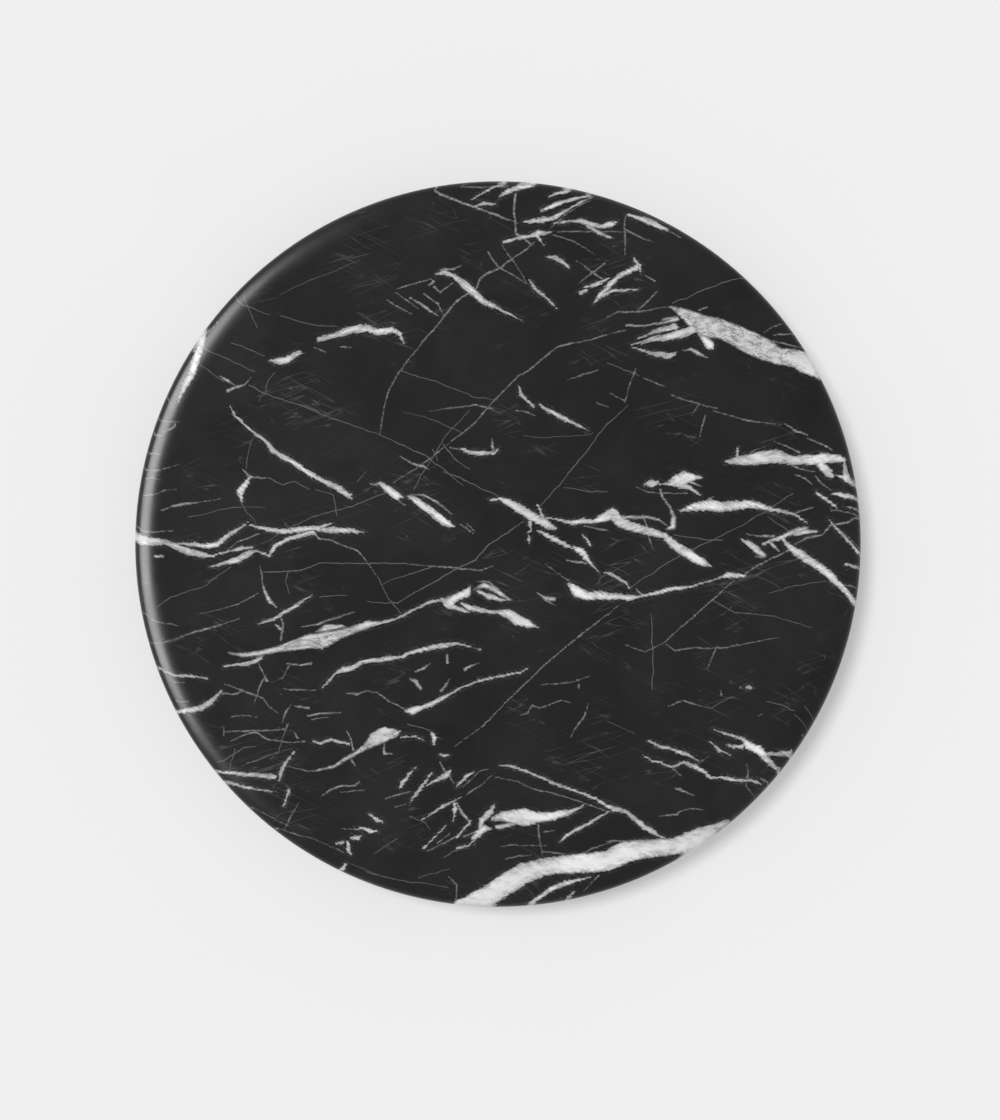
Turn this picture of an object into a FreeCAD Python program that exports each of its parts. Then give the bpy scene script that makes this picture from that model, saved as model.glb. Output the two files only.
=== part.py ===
"""Lazy susan turntable: a round stone top on a ball-bearing ring in a low turned housing.

The frame is millimetres, +Z up, with the origin on the table under the centre. The stone, its plate and
the inner race turn together; the housing, the outer race and the feet stand still; the balls and their
cage roll between the races.
"""
import FreeCAD
import Part
import Sketcher
import os
from FreeCAD import Placement, Rotation, Vector

doc = FreeCAD.newDocument("Turntable")

# Every size is a plain number in this sheet. Angles, which end in _turn, are degrees. A reach, inset or
# lip is measured along a radius from the edge that it names.
SIZES = {
    # stone top
    "top_diameter": 400.0,
    "top_thickness": 20.0,
    "edge_reach": 14.0,          # how far in from the rim the upper rounding begins
    "edge_drop": 9.0,            # how far down from the top the upper rounding ends
    "edge_radius": 7.0,          # tight arc at the rim; a flatter arc joins it to the top
    "under_radius": 8.0,         # rounding of the lower edge
    "recess_ease": 0.5,          # chamfer round the mouth of the stone's recess
    # ball bearing
    "ball_circle": 180.0,        # diameter of the circle through the centres of the balls
    "ball_diameter": 6.0,
    "ball_clearance": 0.03,      # between a ball and the flanks of its grooves
    "cage_segments": 3,
    "balls_per_segment": 10,
    "race_gap": 1.8,             # between the faces of the two races
    "race_width": 13.1,          # each race, from its face to its far edge
    "race_cover": 2.5,           # outer race beyond the balls, above and below
    "race_lift": 1.0,            # inner race clear of the housing floor
    "race_ease": 0.4,            # chamfer on the races and the plate
    "groove_relief": 0.6,        # clear of the ball at the bottom of each groove
    "cage_thickness": 1.2,
    "cage_lip": 0.95,            # cage above and below the holes for the balls
    "cage_hole_gap": 0.15,       # round each ball in its hole
    "cage_joint_gap": 0.6,       # between the ends of two segments
    # screws that hold the races
    "race_screw_diameter": 4.0,
    "race_screw_head": 7.0,
    "race_screw_head_height": 2.8,
    "race_screw_key": 2.5,
    "race_screw_count": 6,
    "inner_screw_inset": 4.5,    # from the inner race's bore
    "inner_screw_turn": 30.0,
    "inner_screw_sink": 0.2,     # head below the face of the race
    "inner_screw_short": 0.5,    # tip short of the plate's top
    "outer_screw_inset": 5.3,    # from the outer race's edge
    "outer_screw_sink": 1.2,
    "outer_screw_cover": 1.5,    # metal left in the housing under the tip
    # clearances of every screw
    "thread_gap": 0.05,          # round a screw in its thread
    "sink_gap": 0.05,            # round a countersunk head in its cone
    "hole_gap": 0.25,            # round a screw or a head that passes freely
    "thread_end_gap": 0.3,       # spare depth past a screw's tip in a blind hole
    # dowels that line up the two halves of the outer race
    "dowel_diameter": 3.0,
    "dowel_length": 8.0,
    "dowel_count": 2,
    "dowel_turn": 30.0,
    # plate and gasket under the stone
    "plate_overhang": 4.9,       # beyond the inner race's face
    "plate_lip": 10.0,           # inside the circle of stone screws
    "plate_thickness": 4.0,
    "plate_clearance": 1.5,      # plate above the outer race
    "gasket_thickness": 1.0,
    "recess_gap": 0.5,           # round the plate, inside the stone's recess
    # screws and threaded inserts that hold the plate to the stone
    "stone_screw_inset": 14.0,   # inside the inner race's bore
    "stone_screw_count": 6,
    "stone_screw_diameter": 5.0,
    "stone_screw_length": 12.0,
    "stone_screw_head": 9.5,
    "stone_screw_key": 3.0,
    "insert_diameter": 8.0,
    "insert_floor": 0.7,         # closed end of the insert's bore
    "insert_end_gap": 0.5,       # spare depth above the insert
    "glue_line": 0.1,            # round the insert, filled with resin
    # housing
    "housing_margin": 6.0,       # beyond the outer race
    "housing_wall": 3.0,
    "floor_thickness": 4.5,
    "shoulder_height": 4.5,      # step that centres the outer race
    "race_seat_gap": 0.15,       # round the outer race, inside the shoulder
    "running_gap": 2.0,          # housing wall below the stone
    "rim_round": 1.0,
    "foot_round": 1.5,           # round the housing's lower edge
    # cover under the middle
    "ledge_width": 8.0,          # of the floor that carries the cover, centred on the ball circle
    "cover_thickness": 2.0,
    "cover_gap": 0.3,            # round the cover, inside its step
    "cover_ease": 0.4,
    "cover_screw_count": 6,
    "cover_screw_diameter": 3.0,
    "cover_screw_head": 5.5,
    "cover_screw_key": 2.0,
    "cover_screw_short": 0.5,    # tip short of the floor's top
    # rubber feet
    "foot_height": 3.0,          # housing above the table
    "foot_sink": 1.5,            # foot let into the housing
    "foot_diameter": 12.0,
    "foot_bevel": 1.0,
    "foot_stem_diameter": 4.0,
    "foot_stem_short": 0.3,      # stem's end short of the floor's top
    "foot_inset": 8.5,           # from the housing's outside
    "foot_count": 6,
    "foot_turn": 30.0,
    "foot_gap": 0.15,
}
sheet = doc.addObject("Spreadsheet::Sheet", "Sizes")
for row, (alias, value) in enumerate(SIZES.items(), 1):
    sheet.set(f"A{row}", alias)
    sheet.set(f"B{row}", str(value))
    sheet.setAlias(f"B{row}", alias)
doc.recompute()


def size(alias):
    """The name under which an expression finds one size in the sheet."""
    return f"Sizes.{alias}"


def number(expression):
    """The present value of an expression, as a plain number."""
    return float(sheet.evalExpression(expression.replace("Sizes.", "")))


BALL_RADIUS = "(Sizes.ball_diameter / 2)"
BALL_PITCH = "(360 / (Sizes.cage_segments * Sizes.balls_per_segment))"

# Heights, counted up from the table.
HOUSING_BOTTOM = size("foot_height")
COVER_TOP = f"({HOUSING_BOTTOM} + Sizes.cover_thickness)"
FOOT_TOP = f"({HOUSING_BOTTOM} + Sizes.foot_sink)"
FLOOR_TOP = f"({HOUSING_BOTTOM} + Sizes.floor_thickness)"
BALL_PLANE = f"({FLOOR_TOP} + Sizes.race_cover + {BALL_RADIUS})"
OUTER_RACE_TOP = f"({BALL_PLANE} + {BALL_RADIUS} + Sizes.race_cover)"
INNER_RACE_BOTTOM = f"({FLOOR_TOP} + Sizes.race_lift)"
STONE_BOTTOM = f"({OUTER_RACE_TOP} + Sizes.plate_clearance)"
PLATE_TOP = f"({STONE_BOTTOM} + Sizes.plate_thickness)"
RECESS_TOP = f"({PLATE_TOP} + Sizes.gasket_thickness)"
STONE_TOP = f"({STONE_BOTTOM} + Sizes.top_thickness)"
STONE_SCREW_TIP = f"({STONE_BOTTOM} + Sizes.stone_screw_length)"
INSERT_ROOF = f"({STONE_SCREW_TIP} + Sizes.thread_end_gap)"
INSERT_TOP = f"({INSERT_ROOF} + Sizes.insert_floor)"
OUTER_SCREW_TIP = f"({HOUSING_BOTTOM} + Sizes.outer_screw_cover)"

# Radii, counted from the centre line. A race's face is the side where its groove is.
BALL_PLACE = "(Sizes.ball_circle / 2)"
INNER_FACE = f"({BALL_PLACE} - Sizes.race_gap / 2)"
OUTER_FACE = f"({BALL_PLACE} + Sizes.race_gap / 2)"
INNER_RACE_BORE = f"({INNER_FACE} - Sizes.race_width)"
OUTER_RACE_EDGE = f"({OUTER_FACE} + Sizes.race_width)"
INNER_SCREW_PLACE = f"({INNER_RACE_BORE} + Sizes.inner_screw_inset)"
OUTER_SCREW_PLACE = f"({OUTER_RACE_EDGE} - Sizes.outer_screw_inset)"
STONE_SCREW_PLACE = f"({INNER_RACE_BORE} - Sizes.stone_screw_inset)"
PLATE_BORE = f"({STONE_SCREW_PLACE} - Sizes.plate_lip)"
PLATE_EDGE = f"({INNER_FACE} + Sizes.plate_overhang)"
RECESS_EDGE = f"({PLATE_EDGE} + Sizes.recess_gap)"
LEDGE_INSIDE = f"({BALL_PLACE} - Sizes.ledge_width / 2)"
LEDGE_OUTSIDE = f"({BALL_PLACE} + Sizes.ledge_width / 2)"
COVER_EDGE = f"({LEDGE_OUTSIDE} - Sizes.cover_gap)"
HOUSING_EDGE = f"({OUTER_RACE_EDGE} + Sizes.housing_margin)"
FOOT_PLACE = f"({HOUSING_EDGE} - Sizes.foot_inset)"

# Groove of two 45 degree flanks: how far its corner and its flat bottom lie from the ball's centre.
GROOVE_CORNER = f"(({BALL_RADIUS} + Sizes.ball_clearance) * sqrt(2))"
GROOVE_FLAT = f"({BALL_RADIUS} + Sizes.groove_relief)"
GROOVE_MOUTH_HALF = f"({GROOVE_CORNER} - Sizes.race_gap / 2)"
GROOVE_FLAT_HALF = f"({GROOVE_CORNER} - {GROOVE_FLAT})"


def new_body(label):
    """A sub-part's own body. Groups of equal fasteners are several solids in one body."""
    body = doc.addObject("PartDesign::Body", label)
    body.Label = label
    body.AllowCompound = True
    return body


def datum(body, role):
    """One of the body's own origin planes or axes."""
    return next(feature for feature in body.Origin.OriginFeatures if feature.Role == role)


def upright_sketch(body, name, turn=None):
    """A sketch on the body's XZ plane, turned about the centre line: x is a radius and y a height."""
    sketch = body.newObject("Sketcher::SketchObject", name)
    sketch.AttachmentSupport = [(datum(body, "XZ_Plane"), "")]
    sketch.MapMode = "FlatFace"
    if turn is not None:
        sketch.AttachmentOffset = Placement(Vector(), Rotation(Vector(0, 1, 0), 1))
        sketch.setExpression("AttachmentOffset.Rotation.Angle", turn)
    return sketch


def dimension(sketch, kind, line, point, expression):
    """Ties one coordinate of a line's start or end point to an expression."""
    if number(expression) == 0:
        axis = -2 if kind == "DistanceX" else -1
        sketch.addConstraint(Sketcher.Constraint("PointOnObject", line, point, axis))
        return
    made = sketch.addConstraint(Sketcher.Constraint(kind, -1, 1, line, point, number(expression)))
    sketch.setExpression(f"Constraints[{made}]", expression)


def draw_outline(sketch, corners):
    """A closed outline of straight sides, with every corner placed by two expressions."""
    points = [Vector(number(x), number(z), 0) for x, z in corners]
    for here, there in zip(points, points[1:] + points[:1]):
        sketch.addGeometry(Part.LineSegment(here, there), False)
    for side, (x, z) in enumerate(corners):
        before = (side - 1) % len(corners)
        sketch.addConstraint(Sketcher.Constraint("Coincident", before, 2, side, 1))
        dimension(sketch, "DistanceX", side, 1, x)
        dimension(sketch, "DistanceY", side, 1, z)


def turned(body, name, corners, centre=None, turn=None, cut=False):
    """A revolved solid, or a cut, about the centre line or about an upright axis at radius `centre`.

    Each corner is a pair of expressions: the distance from that axis, and the height.
    """
    sketch = upright_sketch(body, name + "Outline", turn)
    if centre is None:
        draw_outline(sketch, corners)
        axis = "V_Axis"
    else:
        draw_outline(sketch, [(f"{centre} + {radius}", height) for radius, height in corners])
        foot = Vector(number(centre), 0, 0)
        line = sketch.addGeometry(Part.LineSegment(foot, foot + Vector(0, number(STONE_TOP), 0)), True)
        dimension(sketch, "DistanceX", line, 1, centre)
        dimension(sketch, "DistanceX", line, 2, centre)
        dimension(sketch, "DistanceY", line, 1, "0")
        dimension(sketch, "DistanceY", line, 2, STONE_TOP)
        axis = "Axis0"
    feature = body.newObject("PartDesign::Groove" if cut else "PartDesign::Revolution", name)
    feature.Profile = sketch
    feature.ReferenceAxis = (sketch, [axis])
    feature.Angle = 360
    return feature


def column(radius, low, high):
    """Corners of a plain cylinder about its axis."""
    return [("0", low), (radius, low), (radius, high), ("0", high)]


def ring(inner, outer, low, high):
    """Corners of a plain ring."""
    return [(inner, low), (outer, low), (outer, high), (inner, high)]


def repeated(body, name, features, count, angle="360"):
    """Copies features about the centre line, and makes the pattern the body's result."""
    pattern = body.newObject("PartDesign::PolarPattern", name)
    pattern.Originals = features
    pattern.Axis = (datum(body, "Z_Axis"), [""])
    pattern.setExpression("Angle", angle)
    pattern.setExpression("Occurrences", count)
    body.Tip = pattern
    return pattern


def bored(body, name, corners, circle, count, turn=None):
    """Equal holes on a bolt circle; the corners give one hole about its own axis."""
    hole = turned(body, name, corners, centre=circle, turn=turn, cut=True)
    return repeated(body, name + "Pattern", [hole], count)


def hex_socket(body, name, circle, key, low, depth):
    """A hexagon key's hole in a screw head on a bolt circle, from height `low` up by `depth`."""
    sketch = body.newObject("Sketcher::SketchObject", name + "Outline")
    sketch.AttachmentSupport = [(datum(body, "XY_Plane"), "")]
    sketch.MapMode = "FlatFace"
    sketch.setExpression("AttachmentOffset.Base.x", circle)
    sketch.setExpression("AttachmentOffset.Base.z", low)
    corner = f"{key} / sqrt(3)"
    spoke = Vector(number(corner), 0, 0)
    points = [Rotation(Vector(0, 0, 1), 60 * side).multVec(spoke) for side in range(6)]
    for here, there in zip(points, points[1:] + points[:1]):
        sketch.addGeometry(Part.LineSegment(here, there), False)
    ring_line = sketch.addGeometry(Part.Circle(Vector(), Vector(0, 0, 1), number(corner)), True)
    for side in range(6):
        sketch.addConstraint(Sketcher.Constraint("Coincident", side, 2, (side + 1) % 6, 1))
        sketch.addConstraint(Sketcher.Constraint("PointOnObject", side, 1, ring_line))
        if side:
            sketch.addConstraint(Sketcher.Constraint("Equal", 0, side))
    sketch.addConstraint(Sketcher.Constraint("Coincident", ring_line, 3, -1, 1))
    sketch.addConstraint(Sketcher.Constraint("PointOnObject", 0, 1, -1))
    made = sketch.addConstraint(Sketcher.Constraint("Radius", ring_line, number(corner)))
    sketch.setExpression(f"Constraints[{made}]", corner)
    socket = body.newObject("PartDesign::Pocket", name)
    socket.Profile = sketch
    socket.Reversed = True
    socket.setExpression("Length", depth)
    return socket


def spin_body(body, turn):
    """Turns a whole body about the centre line."""
    body.Placement = Placement(Vector(), Rotation(Vector(0, 0, 1), 1))
    body.setExpression("Placement.Rotation.Angle", turn)


def round_edges(feature, places):
    """Names of a feature's circular edges about the centre line at (radius, height) places."""
    doc.recompute()
    wanted = [(number(radius), number(height)) for radius, height in places]
    names = []
    for index, edge in enumerate(feature.Shape.Edges, 1):
        curve = edge.Curve
        if not isinstance(curve, Part.Circle) or curve.Center.x ** 2 + curve.Center.y ** 2 > 1e-6:
            continue
        if any(abs(curve.Radius - r) < 1e-3 and abs(curve.Center.z - z) < 1e-3 for r, z in wanted):
            names.append(f"Edge{index}")
    return names


def eased(body, name, feature, amount, places, kind="Chamfer"):
    """Breaks, or with kind Fillet rounds, the circular edges at those places."""
    made = body.newObject(f"PartDesign::{kind}", name)
    made.Base = (feature, round_edges(feature, places))
    made.setExpression("Size" if kind == "Chamfer" else "Radius", amount)
    return made


def make_marble_top():
    """Stone disc: compound rounding above, plain rounding below, recess and blind holes underneath."""
    body = new_body("marble_top")
    sketch = upright_sketch(body, "StoneOutline")
    rim = number("Sizes.top_diameter / 2")
    reach, drop = number(size("edge_reach")), number(size("edge_drop"))
    tight, under = number(size("edge_radius")), number(size("under_radius"))
    low, high = number(STONE_BOTTOM), number(STONE_TOP)
    ceiling, recess = number(RECESS_TOP), number(RECESS_EDGE)
    # the flat arc is tangent to the top and to the tight arc, which fixes its radius
    flat = (reach ** 2 + drop ** 2 - 2 * reach * tight) / (2 * (drop - tight))
    flat_centre, tight_centre = Vector(rim - reach, high - flat, 0), Vector(rim - tight, high - drop, 0)
    joint = tight_centre + (tight_centre - flat_centre).normalize() * tight
    lean = (joint - tight_centre).getAngle(Vector(1, 0, 0))
    quarter = Vector(1, 0, 0).getAngle(Vector(0, 1, 0))
    up = Vector(0, 0, 1)
    places = [(0, ceiling), (recess, ceiling), (recess, low), (rim - under, low), (rim, low + under),
              (rim, high - drop), (rim - reach, high), (0, high)]
    corners = [Vector(x, y, 0) for x, y in places]
    ceiling_line, recess_wall, bottom = range(3)
    for here, there in zip(corners[:3], corners[1:4]):
        sketch.addGeometry(Part.LineSegment(here, there), False)
    under_centre = Vector(rim - under, low + under, 0)
    under_arc = sketch.addGeometry(Part.ArcOfCircle(Part.Circle(under_centre, up, under), -quarter, 0), False)
    land = sketch.addGeometry(Part.LineSegment(corners[4], corners[5]), False)
    tight_arc = sketch.addGeometry(Part.ArcOfCircle(Part.Circle(tight_centre, up, tight), 0, lean), False)
    flat_arc = sketch.addGeometry(Part.ArcOfCircle(Part.Circle(flat_centre, up, flat), lean, quarter), False)
    top_line = sketch.addGeometry(Part.LineSegment(corners[6], corners[7]), False)
    axis_line = sketch.addGeometry(Part.LineSegment(corners[7], corners[0]), False)
    rules = [("Coincident", ceiling_line, 2, recess_wall, 1), ("Coincident", recess_wall, 2, bottom, 1)]
    rim_path = [bottom, under_arc, land, tight_arc, flat_arc, top_line]
    rules += [("Tangent", a, 2, b, 1) for a, b in zip(rim_path, rim_path[1:])]
    rules += [("Coincident", top_line, 2, axis_line, 1), ("Coincident", axis_line, 2, ceiling_line, 1)]
    rules += [("Horizontal", side) for side in (ceiling_line, bottom, top_line)]
    rules += [("Vertical", side) for side in (recess_wall, land, axis_line)]
    for rule in rules:
        sketch.addConstraint(Sketcher.Constraint(*rule))
    dimension(sketch, "DistanceX", axis_line, 1, "0")
    dimension(sketch, "DistanceX", recess_wall, 1, RECESS_EDGE)
    dimension(sketch, "DistanceY", recess_wall, 1, RECESS_TOP)
    dimension(sketch, "DistanceY", recess_wall, 2, STONE_BOTTOM)
    dimension(sketch, "DistanceX", land, 1, "Sizes.top_diameter / 2")
    dimension(sketch, "DistanceY", land, 2, f"{STONE_TOP} - Sizes.edge_drop")
    dimension(sketch, "DistanceX", top_line, 1, "Sizes.top_diameter / 2 - Sizes.edge_reach")
    dimension(sketch, "DistanceY", top_line, 1, STONE_TOP)
    for arc, radius in ((under_arc, "under_radius"), (tight_arc, "edge_radius")):
        made = sketch.addConstraint(Sketcher.Constraint("Radius", arc, number(size(radius))))
        sketch.setExpression(f"Constraints[{made}]", size(radius))
    disc = body.newObject("PartDesign::Revolution", "StoneDisc")
    disc.Profile = sketch
    disc.ReferenceAxis = (sketch, ["V_Axis"])
    disc.Angle = 360
    eased(body, "RecessMouth", disc, size("recess_ease"), [(RECESS_EDGE, STONE_BOTTOM)])
    hole = column("(Sizes.insert_diameter / 2 + Sizes.glue_line)", RECESS_TOP,
                  f"{INSERT_TOP} + Sizes.insert_end_gap")
    bored(body, "InsertHole", hole, STONE_SCREW_PLACE, size("stone_screw_count"))
    return body


def make_threaded_inserts():
    """Brass inserts, glued into the stone, closed at the top and threaded from below."""
    body = new_body("threaded_inserts")
    bore, outside = "(Sizes.stone_screw_diameter / 2 + Sizes.thread_gap)", "Sizes.insert_diameter / 2"
    corners = [(bore, RECESS_TOP), (outside, RECESS_TOP), (outside, INSERT_TOP), ("0", INSERT_TOP),
               ("0", INSERT_ROOF), (bore, INSERT_ROOF)]
    insert = turned(body, "Insert", corners, centre=STONE_SCREW_PLACE)
    repeated(body, "Inserts", [insert], size("stone_screw_count"))
    return body


def make_plate_gasket():
    """Sheet gasket that beds the plate against the stone."""
    body = new_body("plate_gasket")
    turned(body, "Sheet", ring(PLATE_BORE, PLATE_EDGE, PLATE_TOP, RECESS_TOP))
    hole = column("(Sizes.stone_screw_diameter / 2 + Sizes.hole_gap)", PLATE_TOP, RECESS_TOP)
    bored(body, "ScrewHole", hole, STONE_SCREW_PLACE, size("stone_screw_count"))
    return body


def countersunk(head, shank, low, high):
    """Corners of a countersunk screw or hole: a 90 degree cone up from `low`, then a shank to `high`."""
    neck = f"{low} + {head} - {shank}"
    return [("0", low), (head, low), (shank, neck), (shank, high), ("0", high)]


def make_top_plate():
    """Steel ring that joins the stone to the inner race."""
    body = new_body("top_plate")
    plate = turned(body, "Ring", ring(PLATE_BORE, PLATE_EDGE, STONE_BOTTOM, PLATE_TOP))
    edges = [(radius, height) for radius in (PLATE_BORE, PLATE_EDGE) for height in (STONE_BOTTOM, PLATE_TOP)]
    eased(body, "Edges", plate, size("race_ease"), edges)
    head = "(Sizes.stone_screw_head / 2 + Sizes.sink_gap)"
    shank = "(Sizes.stone_screw_diameter / 2 + Sizes.hole_gap)"
    hole = countersunk(head, shank, STONE_BOTTOM, PLATE_TOP)
    bored(body, "StoneScrewHole", hole, STONE_SCREW_PLACE, size("stone_screw_count"))
    thread = column("(Sizes.race_screw_diameter / 2 + Sizes.thread_gap)", STONE_BOTTOM, PLATE_TOP)
    bored(body, "RaceThread", thread, INNER_SCREW_PLACE, size("race_screw_count"), size("inner_screw_turn"))
    return body


def make_plate_screws():
    """Countersunk screws up through the plate into the stone's inserts."""
    body = new_body("plate_screws")
    head, shank = "Sizes.stone_screw_head / 2", "Sizes.stone_screw_diameter / 2"
    corners = countersunk(head, shank, STONE_BOTTOM, STONE_SCREW_TIP)
    screw = turned(body, "Screw", corners, centre=STONE_SCREW_PLACE)
    depth = "Sizes.stone_screw_key / 2"
    socket = hex_socket(body, "Key", STONE_SCREW_PLACE, size("stone_screw_key"), STONE_BOTTOM, depth)
    repeated(body, "Screws", [screw, socket], size("stone_screw_count"))
    return body


def groove_corners(face, side):
    """A race's groove, from its lower lip to its upper one. side is + for the outer race, - for the inner."""
    flat = f"({BALL_PLACE} {side} {GROOVE_FLAT})"
    return [
        (face, f"{BALL_PLANE} - {GROOVE_MOUTH_HALF}"), (flat, f"{BALL_PLANE} - {GROOVE_FLAT_HALF}"),
        (flat, f"{BALL_PLANE} + {GROOVE_FLAT_HALF}"), (face, f"{BALL_PLANE} + {GROOVE_MOUTH_HALF}"),
    ]


def make_inner_race():
    """Inner bearing ring, screwed up against the plate; the balls run in its outer groove."""
    body = new_body("inner_race")
    low_inside, low_face = (INNER_RACE_BORE, INNER_RACE_BOTTOM), (INNER_FACE, INNER_RACE_BOTTOM)
    high_face, high_inside = (INNER_FACE, STONE_BOTTOM), (INNER_RACE_BORE, STONE_BOTTOM)
    groove = groove_corners(INNER_FACE, "-")
    race = turned(body, "Race", [low_inside, low_face, *groove, high_face, high_inside])
    eased(body, "Edges", race, size("race_ease"), [low_inside, low_face, high_inside])
    head = "(Sizes.race_screw_head / 2 + Sizes.hole_gap)"
    shank = "(Sizes.race_screw_diameter / 2 + Sizes.hole_gap)"
    seat = f"{INNER_RACE_BOTTOM} + Sizes.race_screw_head_height + Sizes.inner_screw_sink"
    hole = [("0", INNER_RACE_BOTTOM), (head, INNER_RACE_BOTTOM), (head, seat), (shank, seat),
            (shank, STONE_BOTTOM), ("0", STONE_BOTTOM)]
    bored(body, "ScrewHole", hole, INNER_SCREW_PLACE, size("race_screw_count"), size("inner_screw_turn"))
    return body


def make_inner_race_screws():
    """Low cap screws up through the inner race into the plate's threads."""
    body = new_body("inner_race_screws")
    low = f"{INNER_RACE_BOTTOM} + Sizes.inner_screw_sink"
    seat = f"{low} + Sizes.race_screw_head_height"
    tip = f"{PLATE_TOP} - Sizes.inner_screw_short"
    head, shank = "Sizes.race_screw_head / 2", "Sizes.race_screw_diameter / 2"
    corners = [("0", low), (head, low), (head, seat), (shank, seat), (shank, tip), ("0", tip)]
    screw = turned(body, "Screw", corners, centre=INNER_SCREW_PLACE)
    depth = "Sizes.race_screw_head_height / 2"
    socket = hex_socket(body, "Key", INNER_SCREW_PLACE, size("race_screw_key"), low, depth)
    repeated(body, "Screws", [screw, socket], size("race_screw_count"))
    spin_body(body, size("inner_screw_turn"))
    return body


def dowel_hole(low, high):
    """Corners of one half of a dowel's hole."""
    return column("(Sizes.dowel_diameter / 2 + Sizes.thread_gap)", low, high)


def make_outer_race_lower():
    """Lower half of the outer bearing ring, seated on the housing floor."""
    body = new_body("outer_race_lower")
    mouth, flat = groove_corners(OUTER_FACE, "+")[:2]
    corners = [(OUTER_FACE, FLOOR_TOP), (OUTER_RACE_EDGE, FLOOR_TOP), (OUTER_RACE_EDGE, BALL_PLANE),
               (flat[0], BALL_PLANE), flat, mouth]
    race = turned(body, "Race", corners)
    eased(body, "Edges", race, size("race_ease"), [(OUTER_RACE_EDGE, FLOOR_TOP), (OUTER_FACE, FLOOR_TOP)])
    shank = "(Sizes.race_screw_diameter / 2 + Sizes.hole_gap)"
    hole = column(shank, FLOOR_TOP, BALL_PLANE)
    bored(body, "ScrewHole", hole, OUTER_SCREW_PLACE, size("race_screw_count"))
    hole = dowel_hole(f"{BALL_PLANE} - Sizes.dowel_length / 2", BALL_PLANE)
    bored(body, "DowelHole", hole, OUTER_SCREW_PLACE, size("dowel_count"), size("dowel_turn"))
    return body


def make_outer_race_upper():
    """Upper half of the outer bearing ring; it closes the groove once the balls are in."""
    body = new_body("outer_race_upper")
    flat, mouth = groove_corners(OUTER_FACE, "+")[2:]
    corners = [(flat[0], BALL_PLANE), (OUTER_RACE_EDGE, BALL_PLANE), (OUTER_RACE_EDGE, OUTER_RACE_TOP),
               (OUTER_FACE, OUTER_RACE_TOP), mouth, flat]
    race = turned(body, "Race", corners)
    edges = [(OUTER_RACE_EDGE, OUTER_RACE_TOP), (OUTER_FACE, OUTER_RACE_TOP)]
    eased(body, "Edges", race, size("race_ease"), edges)
    head = "(Sizes.race_screw_head / 2 + Sizes.hole_gap)"
    shank = "(Sizes.race_screw_diameter / 2 + Sizes.hole_gap)"
    seat = f"{OUTER_RACE_TOP} - Sizes.outer_screw_sink - Sizes.race_screw_head_height"
    hole = [("0", BALL_PLANE), (shank, BALL_PLANE), (shank, seat), (head, seat), (head, OUTER_RACE_TOP),
            ("0", OUTER_RACE_TOP)]
    bored(body, "ScrewHole", hole, OUTER_SCREW_PLACE, size("race_screw_count"))
    hole = dowel_hole(BALL_PLANE, f"{BALL_PLANE} + Sizes.dowel_length / 2")
    bored(body, "DowelHole", hole, OUTER_SCREW_PLACE, size("dowel_count"), size("dowel_turn"))
    return body


def make_race_dowels():
    """Dowels across the joint of the outer race's two halves."""
    body = new_body("race_dowels")
    half = "Sizes.dowel_length / 2"
    corners = column("Sizes.dowel_diameter / 2", f"{BALL_PLANE} - {half}", f"{BALL_PLANE} + {half}")
    pin = turned(body, "Dowel", corners, centre=OUTER_SCREW_PLACE)
    repeated(body, "Dowels", [pin], size("dowel_count"))
    spin_body(body, size("dowel_turn"))
    return body


def make_outer_race_screws():
    """Low cap screws down through both halves of the outer race into the housing floor."""
    body = new_body("outer_race_screws")
    high = f"{OUTER_RACE_TOP} - Sizes.outer_screw_sink"
    seat = f"{high} - Sizes.race_screw_head_height"
    head, shank = "Sizes.race_screw_head / 2", "Sizes.race_screw_diameter / 2"
    corners = [("0", OUTER_SCREW_TIP), (shank, OUTER_SCREW_TIP), (shank, seat), (head, seat), (head, high),
               ("0", high)]
    screw = turned(body, "Screw", corners, centre=OUTER_SCREW_PLACE)
    depth = "Sizes.race_screw_head_height / 2"
    socket = hex_socket(body, "Key", OUTER_SCREW_PLACE, size("race_screw_key"), f"{high} - {depth}", depth)
    repeated(body, "Screws", [screw, socket], size("race_screw_count"))
    return body


def make_bearing_balls():
    """Full set of balls, evenly spaced on the ball circle."""
    body = new_body("bearing_balls")
    ball = body.newObject("PartDesign::AdditiveSphere", "Ball")
    ball.AttachmentSupport = [(datum(body, "XY_Plane"), "")]
    ball.MapMode = "FlatFace"
    ball.setExpression("Radius", BALL_RADIUS)
    ball.setExpression("AttachmentOffset.Base.x", BALL_PLACE)
    ball.setExpression("AttachmentOffset.Base.z", BALL_PLANE)
    repeated(body, "Balls", [ball], "Sizes.cage_segments * Sizes.balls_per_segment")
    spin_body(body, f"{BALL_PITCH} / 2")
    return body


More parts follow.
